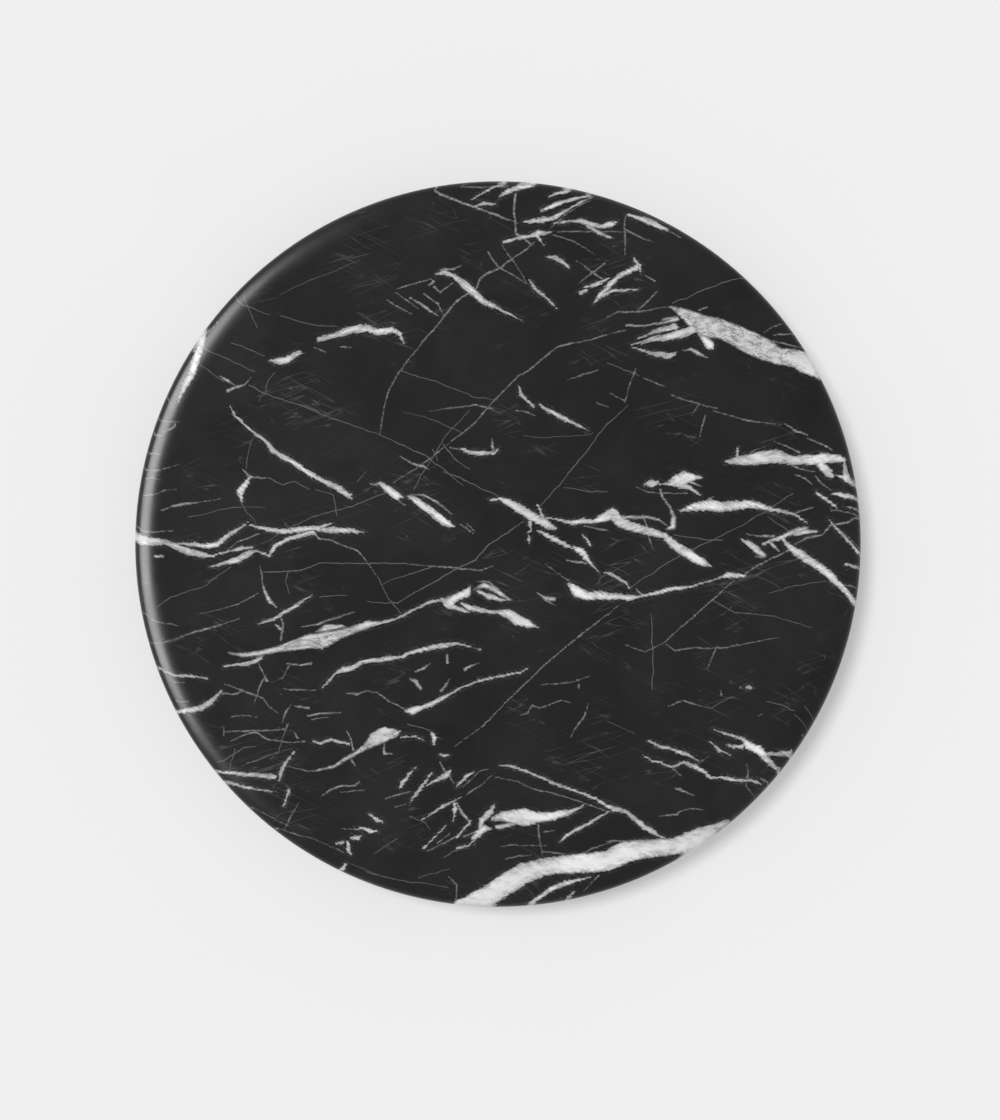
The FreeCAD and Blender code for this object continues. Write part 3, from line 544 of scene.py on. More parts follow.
# A vein is given as the course it runs, each place as its X, its Y and the vein's
# width there, in millimetres from the middle of the disc. The thick white veins
# come first, from the near edge of the slab round to the far one.
white_veins = [
    # the broad band across the near edge, and the slips under it
    [(-16, -201, 14), (-5, -193.5, 13), (4.6, -187, 12.5), (14.3, -181, 12), (24, -177.8, 9.5),
     (43, -175.3, 10.5), (61, -173.4, 11.5), (69.5, -169, 12), (78, -167.4, 10),
     (97, -165.6, 9.5), (104.5, -163.5, 11.5), (113, -161, 12), (122.5, -157.5, 11),
     (130, -153, 8), (136, -147.5, 3)],
    [(17, -200, 2.6), (24, -194, 2.6), (30, -189.2, 3), (37, -186.8, 3), (43, -184.6, 2),
     (51, -182.8, .8)],
    [(5, -200, 2), (15, -200, 1.6)],
    [(35, -196.5, 1), (39.5, -194.8, 1.8), (43, -191, 1)],
    # the white end of the band at the right, and its broken neighbours
    [(157, 102.8, 5), (163, 102.5, 10), (169.5, 101.5, 15), (178, 97, 11), (190, 92, 11)],
    [(111, 115, 2), (116, 109.5, 5), (118, 107.3, .6)],
    [(73.5, 109.3, .5), (84, 112, 2), (97, 114.3, 4.5), (107, 117.5, 5)],
    [(77, 112.6, .5), (85, 116, 1.6), (97, 119, 4)],
    [(73.5, 108, .4), (84, 104.8, 2), (94, 103, 3.6), (98, 104.5, .6)],
    [(124.5, 45.3, .8), (131.5, 46, 4.6), (139, 46.6, 6.4), (152.5, 48, 7.5),
     (159.5, 46.4, 5.6), (165.5, 45.8, 5), (178, 47, 6.2), (189, 47.5, 4)],
    [(131.5, 52.8, 1), (131.7, 48.5, 1.6)],
    [(176.5, 44, 4), (181, 39.5, 5), (184, 36.8, 1.2)],
    [(189.8, 46.5, 1.4), (190.5, 41, 3), (191.5, 37, 5), (196, 34, 1.4)],
    [(185.5, 37.5, 1), (191.5, 36.4, 3.2)],
    [(183.5, 27.8, 1.2), (190.5, 26.7, 3), (198, 27.5, 2.2)],
    [(175, 28.5, 1.2), (180, 24.8, 1.8), (185.5, 19.8, 1.2)],
    [(190, 20.6, .7), (200, 21.2, 1.3)],
    [(88.8, 32.8, .8), (93.5, 33.3, 2.4), (98, 35, 6.5), (102, 36.3, 8), (107, 37, 4.5),
     (112, 36.8, .6)],
    [(100, 32.5, 4), (105, 31, 2.6), (111, 26.8, .6)],
    [(81, 32.8, 1.4), (84.5, 33.5, 4.2), (88, 34.5, 1.4)],
    [(100, 18.2, 1.2), (108, 20.3, 4.6), (116, 21.4, 6.6), (122.5, 20.6, 5.6), (137, 22, 4.4),
     (143.5, 21.3, 3.6), (150, 19.2, 2.2), (163, 16, 1.6), (169.8, 11.2, .4)],
    # the long falling veins through the middle
    [(.8, 25, 1.6), (4.7, 23.4, 4), (10.7, 19.8, 4.6), (22.6, 13.2, 4.8), (27.4, 10.3, 4),
     (31.8, 8.4, 1.2)],
    [(-4.3, 23.7, 1), (0, 24.5, 1.4)],
    [(20.5, 22.5, .5), (23.5, 18, 1.4), (24.5, 14.5, 2)],
    [(17.5, 12, 2), (18, 8, 1.4), (16.5, 6.5, .4)],
    [(16.7, 5, 1.2), (17, 2, 1.6), (17.3, 0, .4)],
    [(21.5, 7.5, .8), (26.3, 5.4, 2.4), (31, 2.4, 3), (35.8, 0, 2.6), (41, -2.6, .8)],
    [(41.8, -2, 1.8), (45.3, -4, 4), (48.8, -8, 3), (52.5, -12, 1.2), (57.2, -17, .4)],
    [(46, 5, .8), (49, 2.5, 1.6), (50.3, -.5, .8)],
    [(24.5, 14.3, .7), (32, 13.3, 1.3), (39.5, 11.6, 2.2), (46.5, 12.8, 3.2), (52.5, 12.6, 2),
     (58, 14.6, 5), (63, 16.5, 6), (66.5, 12.5, 5.6), (78, 8, 5), (91, 4.3, 3.6), (96, -.3, 5),
     (108, -7.6, 5), (112.7, -10, 4.2), (117, -12.3, .8)],
    [(133.5, 2.2, 1), (138.5, -.6, 3.4), (142.5, -3.6, 3.6), (146, -6.3, 2.2)],
    [(145.5, -.4, 1.4), (151.5, 2.4, 2.4), (159.5, 5.4, 2.2), (166, 8, 2.6), (170, 8.8, 1)],
    [(163, 6, 2.6), (168, 6.3, 2.8), (175.5, 6.5, .8)],
    [(155.5, 4, 2.2), (158, .5, 2.2), (164, -4.7, 4.6), (176, -12.5, 4), (182.3, -17.3, 4.2),
     (185.2, -21.3, 3.6), (195.5, -29.7, 3.6), (199, -33.5, 2)],
    [(39, -22.3, 2), (43, -26, 6.5), (49, -28.4, 4.2), (55, -27.9, 4.6), (66, -28.3, 3.2),
     (72, -29.6, 3.4), (77, -29, 1.8), (91, -26, 2.4), (98.5, -24.9, 2.2), (105.5, -23.8, 1.3),
     (120.5, -19.5, .8)],
    [(121.5, -18.9, 1), (126.5, -17, 3.2), (131.5, -17.5, 2.6), (135.5, -17.7, 1.2)],
    [(58.5, -15.7, .9), (61.5, -16, 1.8), (69.5, -20.5, 1.3), (71.8, -24.3, .6)],
    [(181, 13.5, .6), (186, 8, 1.3), (192, 2.3, 1.8), (200, -4.2, 2)],
    [(190.5, -10.5, 1.4), (196, -10.8, 1.6), (199.5, -9.5, .8)],
    # the knot near the middle
    [(-29.5, -31.5, 3), (-27, -32.3, 6.5), (-22.5, -29, 4), (-17, -26.6, 4.5),
     (-15.3, -23, .8)],
    [(-26, -34, 3), (-19.5, -36.2, 2.6), (-16, -37.3, .8)],
    [(-19.5, -32.5, 1.8), (-16, -34.8, 3.4), (-5, -37, 2), (1, -37, 2.6), (6, -38.2, 4.8),
     (11, -41.8, 5.6), (16, -43.8, 4.6), (22, -45.8, .5)],
    [(-11.5, -25.5, 1.6), (-5, -28.8, 3), (2, -30.2, 1.6), (6, -30.8, .4)],
    # the broken line on the left of the middle
    [(-65, 33.7, 1.4), (-60, 30, 3.8), (-55.5, 26.3, 4.6), (-52.5, 25.8, .8)],
    [(-49, 25.6, 1.4), (-44.5, 23.2, 4), (-30, 13.2, 4.4), (-26.3, 10.5, 3.2), (-23, 9.8, .5)],
    [(-19.5, 52.3, 1.4), (-15, 50.3, 2.4), (-8.5, 49.5, 2.4), (-2, 49.5, 1.6), (0, 52, .5)],
    [(-147.5, 76, .8), (-144, 70, 1.2), (-138.5, 65, 1.2), (-127.5, 56.4, 2), (-123.5, 51, 3),
     (-114, 45.6, 2.7), (-105.5, 40.2, 2.9), (-97, 35.4, 2.5), (-90, 31.8, 3), (-82, 26.6, 3.2),
     (-80.5, 25, .5)],
    [(-98.5, 112.7, 2.4), (-90, 114.3, 3), (-80, 117.4, 4), (-72, 118.2, 4.2), (-66, 116.3, 4),
     (-58, 117.3, 3), (-54, 115.5, 2.6), (-51.5, 110.3, .4)],
    [(-125, 100.5, .8), (-120, 100, 4), (-115.5, 101, 4), (-109, 105, 2.6),
     (-107.5, 104.5, .5)],
    [(-161, 120, 2.5), (-163, 112, 4.5), (-165.5, 103, 5), (-168, 93, 4), (-172, 86, 3),
     (-175.5, 77, .5)],
    [(-136, 36.5, 1), (-137.5, 33.5, 3), (-141, 28.5, 4.5), (-140.3, 23.5, 1.2)],
    # the left edge and the veins that lead in from it
    [(-201, 1, 7), (-193, 1.4, 5), (-183, 1, 3), (-178, -1, 3), (-170, -4, 4.2),
     (-163, -5.8, 3), (-157, -6.6, 1.2), (-148, -4, 1), (-141, -2.4, 1.6), (-134.5, -2, .8)],
    [(-177, 0, .8), (-167, 0, 2), (-159, -1, 3.2), (-153.5, 0, 3), (-147.5, 5, 2.4),
     (-136.5, 12.3, .5)],
    [(-158, -12.3, .8), (-150, -10.3, 1.6), (-143, -8.5, 4), (-136, -5, 3.4), (-133, -3.5, 1),
     (-125.5, -6.3, 1.6), (-122.5, -1.3, 2.4), (-116.5, 2.4, 2.2), (-101.5, 6.5, 2.6)],
    [(-136.5, 10, .8), (-128, 8.5, 2.2), (-118.5, 6.9, 3), (-109, 7.9, 3.4), (-99.5, 9, 2.6),
     (-91, 11.4, .5)],
    [(-99, 8.3, 2.4), (-90, 8, 3.2), (-81, 7.2, 2.4), (-73, 6, .4)],
    [(-131, -43.5, .6), (-123, -41.3, 1.8), (-117.5, -37, 1.6), (-110.5, -33.5, 2),
     (-101.5, -27.5, .3)],
    [(-80, -47, 3), (-72, -43.8, 4), (-66, -43.6, 2.2), (-56.5, -41.2, 1.6),
     (-45.5, -35.8, 1.3), (-36, -31.6, 1.5), (-30, -30.8, 2)],
    [(-117, -56.5, 1), (-111, -54.5, 3.4), (-104, -54, 4), (-97, -56.5, 2)],
    [(-150, -67, 1), (-140.5, -65.8, 1.8), (-132.5, -64.4, 2.4), (-129.5, -62, .5)],
    [(-96.5, -78, .6), (-92.3, -74.5, 1.8), (-90, -71, 1.2), (-85, -68.8, 3),
     (-79.5, -67.6, 2.6), (-74.5, -64.8, 2.2), (-60, -62.9, 2.8), (-51.5, -62, 1.6),
     (-50, -60.3, 1.8), (-36, -56.8, 2.8), (-29, -55.8, 2.8), (-22.5, -54.9, 1.6),
     (-9.5, -57.6, .3)],
    [(-189.5, -66.5, 1), (-183, -71.3, 1.3), (-177.5, -72.3, 1.8), (-165, -72.6, 1.2),
     (-159.5, -74.2, .3)],
    [(-178, -97, 2.2), (-170.5, -92.4, 2.6), (-163, -90.2, 2.8), (-158, -87, 3),
     (-151.5, -80.8, .7)],
    [(-156, -126.6, 1.4), (-145, -126.2, 2.2), (-133, -126.6, 2.4), (-122.3, -128, 2.8)],
    [(-111, -113.3, .4), (-116.5, -120, 1.8), (-118.7, -125, 2.4), (-119.7, -130.3, 1)],
    [(-152.5, -130.5, 1.4), (-145, -133, 1.8), (-136.5, -134, 1.4), (-121, -136.5, .2)],
    [(-114.5, -135.3, 1.8), (-118, -144, .4)],
    [(-101.5, -108.5, 1.2), (-97, -109.5, 1.6), (-92, -107.8, 1.6), (-82, -110, 1.4)],
    [(-53, -106, 1.2), (-45.5, -105.8, 1.2), (-40.8, -108, .4)],
    [(-70.5, -148.5, .6), (-66.5, -151.3, 2), (-63.5, -152.3, 1)],
    [(-79, -156.7, .6), (-74, -155.6, .8), (-70.5, -157.3, 2.8), (-65, -157.5, .3)],
    [(-80.5, -161, 1.5), (-76.5, -161, 2.4), (-74.5, -159.5, .5)],
    [(-88.8, -164.6, .8), (-85.5, -164, 2.2)],
    [(-82.7, -163, 1.4), (-82.3, -167.5, 2.6), (-80.5, -170.5, .4)],
    [(-82.5, -176.5, 1.6), (-84, -184, 3)],
    [(-50.5, -91.5, 1), (-47, -91.5, 4.4), (-41, -89.5, 2.4), (-36, -88, 3), (-31.5, -85, 2.2),
     (-27.5, -83, 1.2), (-19.3, -78.6, 1.1), (-9.7, -75, 1.3), (0, -72.7, 1.2), (12, -70.4, 1),
     (16.6, -68, .3)],
    [(-36.5, -104, 1.4), (-35, -106.5, 2.6), (-35.5, -110, 1.2)],
    [(-32, -115.8, 1), (-29.5, -116.5, 1.6), (-27, -116, .6)],
    # the shower of short veins above the near band
    [(-44.6, -122, .4), (-49, -126.5, 1.6), (-53, -131.5, 2.6), (-54, -134, .8)],
    [(-36, -125.5, 1), (-40, -131, 1.4), (-44.5, -137, 2.2), (-48.5, -142.3, .4)],
    [(-26.5, -124.5, 1.6), (-28.5, -126.5, 3), (-39, -132.5, .4)],
    [(-13, -125, .5), (-17.5, -127.5, 2.2), (-23, -133, .6)],
    [(-42, -151.5, .4), (-31, -144.3, 1.6), (-20, -138.5, .4)],
    [(-24, -140.5, .6), (-23.7, -145.5, 2.6), (-24.8, -152.5, .6)],
    [(-15.5, -152.6, 1.2), (-22.5, -160.5, 1.2)],
    [(-29, -154.5, .3), (-40, -166.5, 1), (-40.4, -167, 2)],
    [(-14, -161.5, 1.6), (-11, -159, 4), (-8, -156, 4), (-3.5, -156, .6)],
    [(-2, -142.5, .4), (-5, -147.5, 3.6), (-9, -151.5, 3), (-10, -156, 2)],
    [(-22, -167, 1.2), (-16, -165.3, 1), (-12, -161.5, 1.4)],
    [(-3, -150.5, 2), (2.5, -149.3, 5.5), (9.5, -149.8, 8.5), (15.5, -150.3, 9.5),
     (21.5, -150, 6), (30, -149.5, 4.5), (37, -147.6, 3.4), (43, -145.4, 1.8),
     (47, -143.3, .3)],
    [(-.5, -155, 2.2), (8, -154, 2.2)],
    [(34, -163, .5), (38.5, -159, 1.8), (47.5, -154, 2.2), (54.5, -150, 1.8), (60, -147, .8)],
    [(.5, -121.8, .5), (6, -121.8, 1.1), (14.5, -124.7, 1.3), (34.5, -132.4, 1.5),
     (54, -139.8, 1.7), (58.5, -142.6, 1.8), (63.5, -145.6, 2.8), (69.5, -146.5, 2.2),
     (80.5, -155.2, 3), (85, -157.5, 3), (87.5, -159.6, 1.2), (92, -161.3, .8)],
    # the lower right
    [(82.8, -108, 1), (89, -111, 1.8), (96, -112.8, 1.4), (99.5, -114.3, 2.6),
     (110.5, -118.7, .5)],
    [(79.2, -115.7, .5), (84, -118.7, 1), (95, -122.9, 1), (102, -119.9, 1.6),
     (108, -121.8, 2.4), (113, -124.8, 2.2), (116.5, -127.8, 1.4), (122.3, -127.6, 1),
     (125, -128.4, 2.3), (132, -129.7, 1.5), (142.5, -129.8, 1.4), (146.7, -131.5, .4)],
    [(116.3, -108.5, .4), (121.5, -112.7, 1.6), (127.5, -116, .4)],
    [(118, -102, .8), (127, -104.7, 1.3), (134.5, -107.3, 2), (137.5, -110.8, 4.6),
     (142.5, -112.7, 5), (150, -120.3, 3.4), (153, -122.2, 2), (156, -123, 3), (160, -127, 2)],
    [(125, -109.7, .4), (129.5, -111.3, 1.8), (134, -111.5, 2)],
    [(146, -115.3, 1.4), (155.5, -114.9, 2.4), (164, -113.5, 3.2), (170, -112, 3)],
    [(136.8, -78.5, 1.8), (138.4, -78.5, 2)],
    # the top edge
    [(70.5, 181, 1.4), (78, 178.8, 3), (85, 176, 3), (91.5, 173.3, 1.8)],
    [(1, 190.8, 1.4), (5, 194, 3.4), (10, 196, 3.4), (17.5, 197, 1.6)],
    [(-12, 184.8, 1.2), (-7.5, 187, 2), (-1, 186.5, .8)],
    [(-14, 189, .8), (-4, 196, 1.4), (6, 199.5, 1.2)],
    [(27.5, 190.5, .9), (33, 193.5, 2.2), (42, 195, 1.2)],
    [(24, 183, 1.6), (30, 185.7, 2.8), (38, 188.5, 2.4), (52, 193, .8)],
    [(14, 176.5, 1), (22, 177, 2.8), (30, 178.5, 2.6), (38, 183, 1.6), (50, 191, .8)],
    [(31, 176, .8), (40, 177.3, 1.2), (45, 177, 2.6), (56, 174, 2.4), (62, 175.5, 3.4),
     (64.5, 176.5, 1.2)],
    [(49, 174.5, 1.6), (55, 171, 1.8), (61.5, 168, 1.2)],
    [(3, 165.3, 1.2), (9.5, 167.2, 1.6), (16.5, 168.5, 1.8), (22, 170.2, 3), (29, 171.3, .8)],
    [(21.5, 169, 2.4), (25, 164.5, .5)],
    [(17, 144.5, .8), (20, 140.5, 1.8), (25, 136, 1.4), (32.5, 129, .3)],
    [(-34, 147.5, 1), (-30, 149, 2.8), (-25, 147.5, 2.4), (-19.3, 142.8, 4), (-13.3, 138, 4.2),
     (-7, 132.8, 3.2), (0, 129, 1.6), (13, 122.3, .3)],
    [(27, 157.5, 1.2), (31, 157, 2.4), (35, 155, 2), (38.5, 151.5, 1.2)],
    [(45, 137.5, 2), (48.5, 139, 1.8)],
    [(48, 141, 1.6), (54, 142.3, 2.4), (61, 146, 1)],
    [(52, 132, .5), (56, 136, 2.4), (61, 142, 2.6), (66, 147, 2.4), (76, 151.5, 3),
     (78.5, 153, 1.2)],
    [(57, 136.5, 2.6), (63, 139, 2), (77, 139.5, .4)],
    [(75, 156, 1.6), (77.5, 153, 2), (78.5, 149.5, 1)],
    [(11.5, 86.5, .4), (12.8, 81.5, 2.2), (16, 78, 1.8), (19.3, 75.3, .8)],
    [(22.7, 76.4, 1), (29.5, 72.8, 2.4), (36, 68.6, 2.6), (43, 65.5, 1.6), (50.5, 61.5, .3)],
]

# The thin grey veins: side branches, crossings and the cracks that never opened wide.
grey_veins = [
    # the grey part of the band at the right, and the bulb at the lower left
    [(94, 130, 1), (100, 127.5, 5), (106.5, 123.5, 9), (113.5, 119.5, 12), (122, 118, 11.5),
     (130.5, 114, 12), (146, 106.7, 12.5), (154.5, 103.3, 9.5), (163, 102.5, 11),
     (169.5, 101.5, 13)],
    [(-98.5, -124.3, 1.4), (-90, -122.2, 2.2), (-84, -118.3, 2.4), (-78, -114.5, 2.4),
     (-72.5, -111.3, 4), (-67, -107, 8), (-62, -104.5, 8.5), (-57, -103.7, 5.5),
     (-53.5, -102.5, 1.2)],
    # the side branches and crossings
    [(-148, -59.5, 1), (-140, -61.2, 2.6), (-130.5, -60.3, 3), (-121, -58, 4),
     (-111.5, -55.2, 6.5), (-102, -53.3, 9), (-95, -52.5, 9), (-88, -49.8, 6),
     (-79.5, -47, 4.6), (-70, -43.8, 4)],
    [(-153, 92, .6), (-148, 89.5, 2.2), (-145, 87, .8)],
    [(-148.5, 84, 2), (-144, 86, 1.5), (-139, 87.3, 1.2), (-135, 91.5, .4)],
    [(-101, 108, .5), (-97, 106.5, 1.2), (-94, 105.2, .3)],
    [(-87, 108.3, .6), (-84, 108, 1), (-81, 107.6, .4)],
    [(-160.5, 114, 1), (-155.3, 120.5, .6)],
    [(-183, 79, .6), (-179.5, 75, 1.2)],
    [(-189, 66.3, .9), (-175, 66.8, .5)],
    [(-192, 58, .8), (-187, 58, 1.4), (-185, 58.6, .4)],
    [(-184, 60.5, .6), (-178, 63.5, 1.6), (-177, 66, .4)],
    [(-195, 46, .6), (-190, 48.6, .9), (-185, 48.6, .5)],
    [(-197, 38, .8), (-188, 39.5, .8), (-174.5, 43.5, .3)],
    [(-194, 34.5, .6), (-190, 35.3, .8), (-186, 35, .4)],
    [(-195, 25.3, 1), (-189, 27, 1), (-183, 29.5, .5), (-177, 30, .3)],
    [(-184.5, 18.5, 1), (-180, 20, .9), (-174, 21.3, 1.8), (-165, 22.5, .7), (-152, 24.7, .3)],
    [(-140, 40.5, .8), (-136.5, 36.5, 1.4), (-129, 35.5, 1), (-126, 36, .3)],
    [(-201, 9, 1), (-196, 6.8, 1), (-190, 6.6, 1), (-178, 7.3, .5)],
    [(-150, -4.5, .6), (-143, 1, .7), (-138, 2.7, 1), (-131, 5.3, 1)],
    [(-188, -7, 1.6), (-184, -7, 2)],
    [(-100, 5.5, 1.6), (-98.3, 3, 1), (-92.4, 2.8, .9), (-85, -.6, .8), (-76.8, -3.4, .9),
     (-66.5, -17.5, .3)],
    [(-130.5, -12, .5), (-129, -22, .8), (-128, -26, 2.4), (-125.5, -31, 2.6), (-122, -35, 1)],
    [(-122, -44, .8), (-119, -46.5, 2), (-117.5, -48, 1)],
    [(-119.5, -39, 1), (-117.5, -44, 1.2), (-119, -53, .8)],
    [(-164, -38, .4), (-153, -36, .4), (-143, -33.3, .8), (-131.5, -26.5, .6)],
    [(-196, -38, .5), (-189, -42.5, .6), (-174, -44.5, .3)],
    [(-191.5, -57, .8), (-175, -51.4, .7), (-166.5, -48.3, 1.4), (-152, -44.4, .9),
     (-141, -40.7, .3)],
    [(-50, -10.7, .3), (-36, -12.4, .9), (-26, -12.8, 1), (-10, -14.5, .7)],
    [(-19, -13.4, .5), (-10, -14.4, .9), (-3, -12.4, .6)],
    [(-108, -45.2, .5), (-99, -44, 1.2), (-90, -40.6, 1.2), (-79, -37.5, .7)],
    [(-100, -48, 1), (-94, -46, 4.5), (-86, -45, 2.6), (-82, -45.5, .5)],
    [(-116, -65.5, 1), (-109, -66.5, 1), (-102, -65.8, 1.4)],
    [(-179.5, -74, .6), (-177, -76, .9), (-172, -76, .5)],
    [(-176, -87.8, .8), (-170, -87.2, 1)],
    [(-151, -82.2, .9), (-145, -82.6, .9), (-140, -81, .8)],
    [(-149.5, -77, .5), (-138, -81.4, 1), (-129, -84.3, .8), (-126, -88.6, .8),
     (-121, -92.3, .6)],
    [(-132.5, -63, 1), (-129, -71, 1), (-127, -75, 1.6)],
    [(-127.5, -71.5, .8), (-130.5, -77, 1), (-134, -87.5, .5)],
    [(-114.5, -66, .7), (-118.5, -73, .7), (-125, -76, .4)],
    [(-117.7, -79.2, .6), (-113, -80, .9), (-100, -79.8, .3)],
    [(-113.2, -87.5, .5), (-116.5, -92, 1.2), (-118.5, -97.5, .5)],
    [(-111.5, -88.8, .6), (-107.5, -89.2, 1.6), (-103.5, -90, 1.6)],
    [(-146, -94.8, .8), (-138, -94, .7), (-132, -94.5, .3)],
    [(-104, -94, 1.2), (-96, -93, 1.2), (-86, -92.6, .5)],
    [(-102, -96, .8), (-93, -95.2, .5)],
    [(-150.5, -100, .5), (-150.5, -105, .9)],
    [(-150, -103, .8), (-143, -102.5, .8), (-132, -102.5, 1), (-116.5, -101, .7),
     (-115, -98, .5)],
    [(-147, -108, .4), (-138, -104, 1), (-132, -103.5, 1.2), (-127, -107, 1),
     (-113, -109.2, .6)],
    [(-112, -109, .8), (-106, -108.2, .8)],
    [(-112, -103, .6), (-110, -106.5, 1.4)],
    [(-145, -123.6, .3), (-130, -117.5, .8), (-121, -114.8, .5)],
    [(-110, -142.6, .4), (-114, -149.8, .8), (-116.5, -157.5, .5)],
    [(-142, -141.5, .6), (-129.5, -148, .7), (-114, -155, .3)],
    [(-126, -155.8, .6), (-115, -158.7, .8), (-102.5, -161.2, .5), (-84.5, -169.5, .5)],
    [(-83, -102.5, .8), (-81, -107, 1), (-79.5, -113, 1.4)],
    [(-80.5, -118.5, 1.2), (-78, -122, .8)],
    [(-96.5, -138.3, .4), (-91, -134.7, 1.5), (-85, -133, 1.2), (-78, -132.7, 1),
     (-75.5, -130.5, .8)],
    [(-86, -136.5, .4), (-78, -135.5, .8), (-73, -135.4, .5)],
    [(-115, -122, .4), (-105, -124.5, .7), (-98.5, -124.5, 1)],
    [(-86.5, -156.3, .4), (-79, -156.7, .8)],
    [(-18, -68.6, 1.8), (-14, -66.6, 1.4), (-10, -65, .3)],
    [(-45, -70, 1.2), (-41, -68, 1.8), (-37, -65.5, .6)],
    [(-28, -61, 1.6), (-28, -65, 1.6)],
    [(-48, -74, 1.6), (-45, -75.5, 2.4), (-42.5, -79, 2)],
    [(-83, -82, .8), (-77, -82.5, 1.2), (-72, -80.5, .6), (-66, -81.5, .8), (-60, -86.2, .9),
     (-50, -91, 1)],
    [(-31.3, -80.5, 1.6), (-29, -77.5, 1.6), (-26.5, -74, .4)],
    [(-62, -110, 1.2), (-62, -115, 1.6), (-58, -115, 1)],
    [(-34, -106, 1), (-30.5, -107.3, .4)],
    [(-32, -120, .8), (-28, -126, 1.2), (-24, -131, .8)],
    [(-10, -124.7, .6), (-19, -133, .6)],
    [(-10, -124.7, .8), (-5, -123.8, .4)],
    [(-1.5, -125, .3), (-8.5, -132, .8), (-17.5, -137.5, .8)],
    [(-23, -141.5, .8), (-20, -148, 2), (-16, -152.5, 1.4)],
    [(-15, -154, .4), (-26, -162, .8), (-39, -169, .4)],
    [(-26.5, -158.3, .6), (-33, -164, .8)],
    [(-19, -160.5, .8), (-13, -158, 1), (-12, -166, .5)],
    [(-62, -140, .6), (-54, -137.5, 1), (-48, -136, .4)],
    [(-56, -144.5, .8), (-50.5, -143, .8)],
    [(-1.5, -128, .4), (10.5, -130.6, .5), (19, -134.8, .7), (32, -137.2, .8),
     (53.8, -144.4, .7), (61, -146.8, .8)],
    [(55.5, -181.5, 1.4), (51.5, -186, .6), (48.5, -191, .4)],
    [(4, -173, .5), (11, -171.2, .9), (18, -170.8, .3)],
    [(1, -166, .3), (6.5, -165, .8), (26, -165.7, .4)],
    [(22.3, -153.3, 1), (22.5, -162, .8), (24, -171, .4)],
    [(24, -169.2, .6), (33, -169.6, .8), (40, -170.6, .3)],
    [(44, -171, .4), (52, -166.5, .8), (65, -162.6, .6)],
    [(60, -163, 1), (76, -162.6, 1.2), (91, -161.6, 1)],
    [(25, -158.2, .8), (30.5, -157.2, .5)],
    [(-27, -182.3, .3), (-22.5, -186.5, .9), (-22, -192, .9), (-21, -197.5, .6)],
    [(95, -122.9, .8), (100.5, -127.5, .4)],
    [(116, -115.7, .3), (110, -120, .8)],
    [(136.3, -121, .5), (137.3, -126, 1.2), (136.5, -133, .9), (142, -137.3, .4)],
    [(145, -128.3, .8), (151.5, -129.6, 1.2)],
    [(87.5, -149, .6), (98.5, -148.3, 1.4), (99.5, -147, .6), (106, -145.6, .9),
     (112.5, -146.2, .4)],
    [(97, -134.3, 1.2), (99.5, -135, 1.8), (108, -138.3, .4)],
    [(93.3, -89.3, .6), (101, -85.8, 1), (109, -88, .7), (117, -90, .4)],
    [(133, -78.2, 1.3), (133, -78.8, 1.3)],
    [(143, -94, .8), (145, -92.8, .8)],
    [(168.3, -104.5, 1.6), (168.5, -103.5, 1.4)],
    [(122, -80, .6), (122.7, -83, .8)],
    [(44.5, -77.5, 1.6), (44.5, -78.5, 1.6)],
    [(12, -94, .4), (16, -93, .8), (19, -88.5, .9), (23, -90, .6), (35, -85.8, .8),
     (40, -87.5, .3)],
    [(23, -77.2, .5), (41, -75.8, .8), (51, -72.5, .4)],
    [(40, -106, .4), (43, -101, 1), (47, -94, .8), (49.5, -88, .4)],
    [(157.5, 66, .6), (164, 61.8, 1.3), (170, 59.7, 1)],
    [(169.7, 57.8, .8), (177.5, 55.2, 1.1), (182.8, 52.3, 1)],
    [(151, 56.5, .3), (158, 53.5, .9), (165, 50.4, 1.4)],
    [(139, 50.5, 1), (146.5, 53.2, .4)],
    [(160.5, 43.8, 1), (166, 41, 1.2), (173.5, 39.8, .8)],
    [(163, 38, .6), (168, 36.3, 1), (172.3, 33.3, .6)],
    [(174, 37.5, .8), (178, 33.5, .9), (183, 29.5, .6)],
    [(182.7, 18.5, .8), (190, 17.7, .9), (198, 17.6, .9)],
    [(198, 17.5, 1), (191, 12, 1.4), (182, 10.3, 1.4), (178, 5, 1), (170, 3, 1.2),
     (163, 0, .6)],
    [(184.5, 9.7, .4), (192, 4.5, .7), (199.5, -1, .6)],
    [(190, -22.6, .5), (194, -22, .8), (199.5, -22.8, .7)],
    [(106, 34, 2.2), (112, 31.5, .5)],
    [(76, 31, .8), (82, 28.3, .8), (104, 27.6, .6)],
    [(89, 30, 1.4), (90, 25.5, 1.4), (94.5, 19.5, 1.6), (96.5, 14.5, 3), (96, 9.5, 3.5),
     (92, 8, 1.4)],
    [(163, 16.3, 1.1), (168, 18.8, 1), (173, 20.6, .4)],
    [(115, 24.5, 1.4), (118, 26, .6)],
    [(37.5, -9.3, .8), (42.5, -10, 1.4), (48, -10.5, 1.8)],
    [(66, 14.5, 2), (74, 14.6, 2), (82, 14.5, 1.8), (88, 13, 2), (93, 10, .8)],
    [(47, 10.3, 1), (55, 8.6, 1), (61, 7.4, .5)],
    [(79.5, 16, .6), (82, 8, 1.6), (84, -1, .8), (85.5, -4, .3)],
    [(136, 5.3, .5), (144, 4, 1.2), (151, 4.3, 1.8)],
    [(141.5, -7.5, 1), (146.5, -7, 2.2)],
    [(150, 0, 2.4), (154, -3.8, 1.2)],
    [(135, -17.5, .8), (142.5, -12, .9), (159, -3.6, 1)],
    [(129.5, -20.3, .7), (122, -26.5, .8), (117.5, -31, .9), (91, -54, .7), (80.5, -59.3, .7),
     (70, -55, .5)],
    [(92, -55, .5), (97, -58.5, 1), (110, -57.3, .8), (124, -57, .8), (145, -53.3, .6),
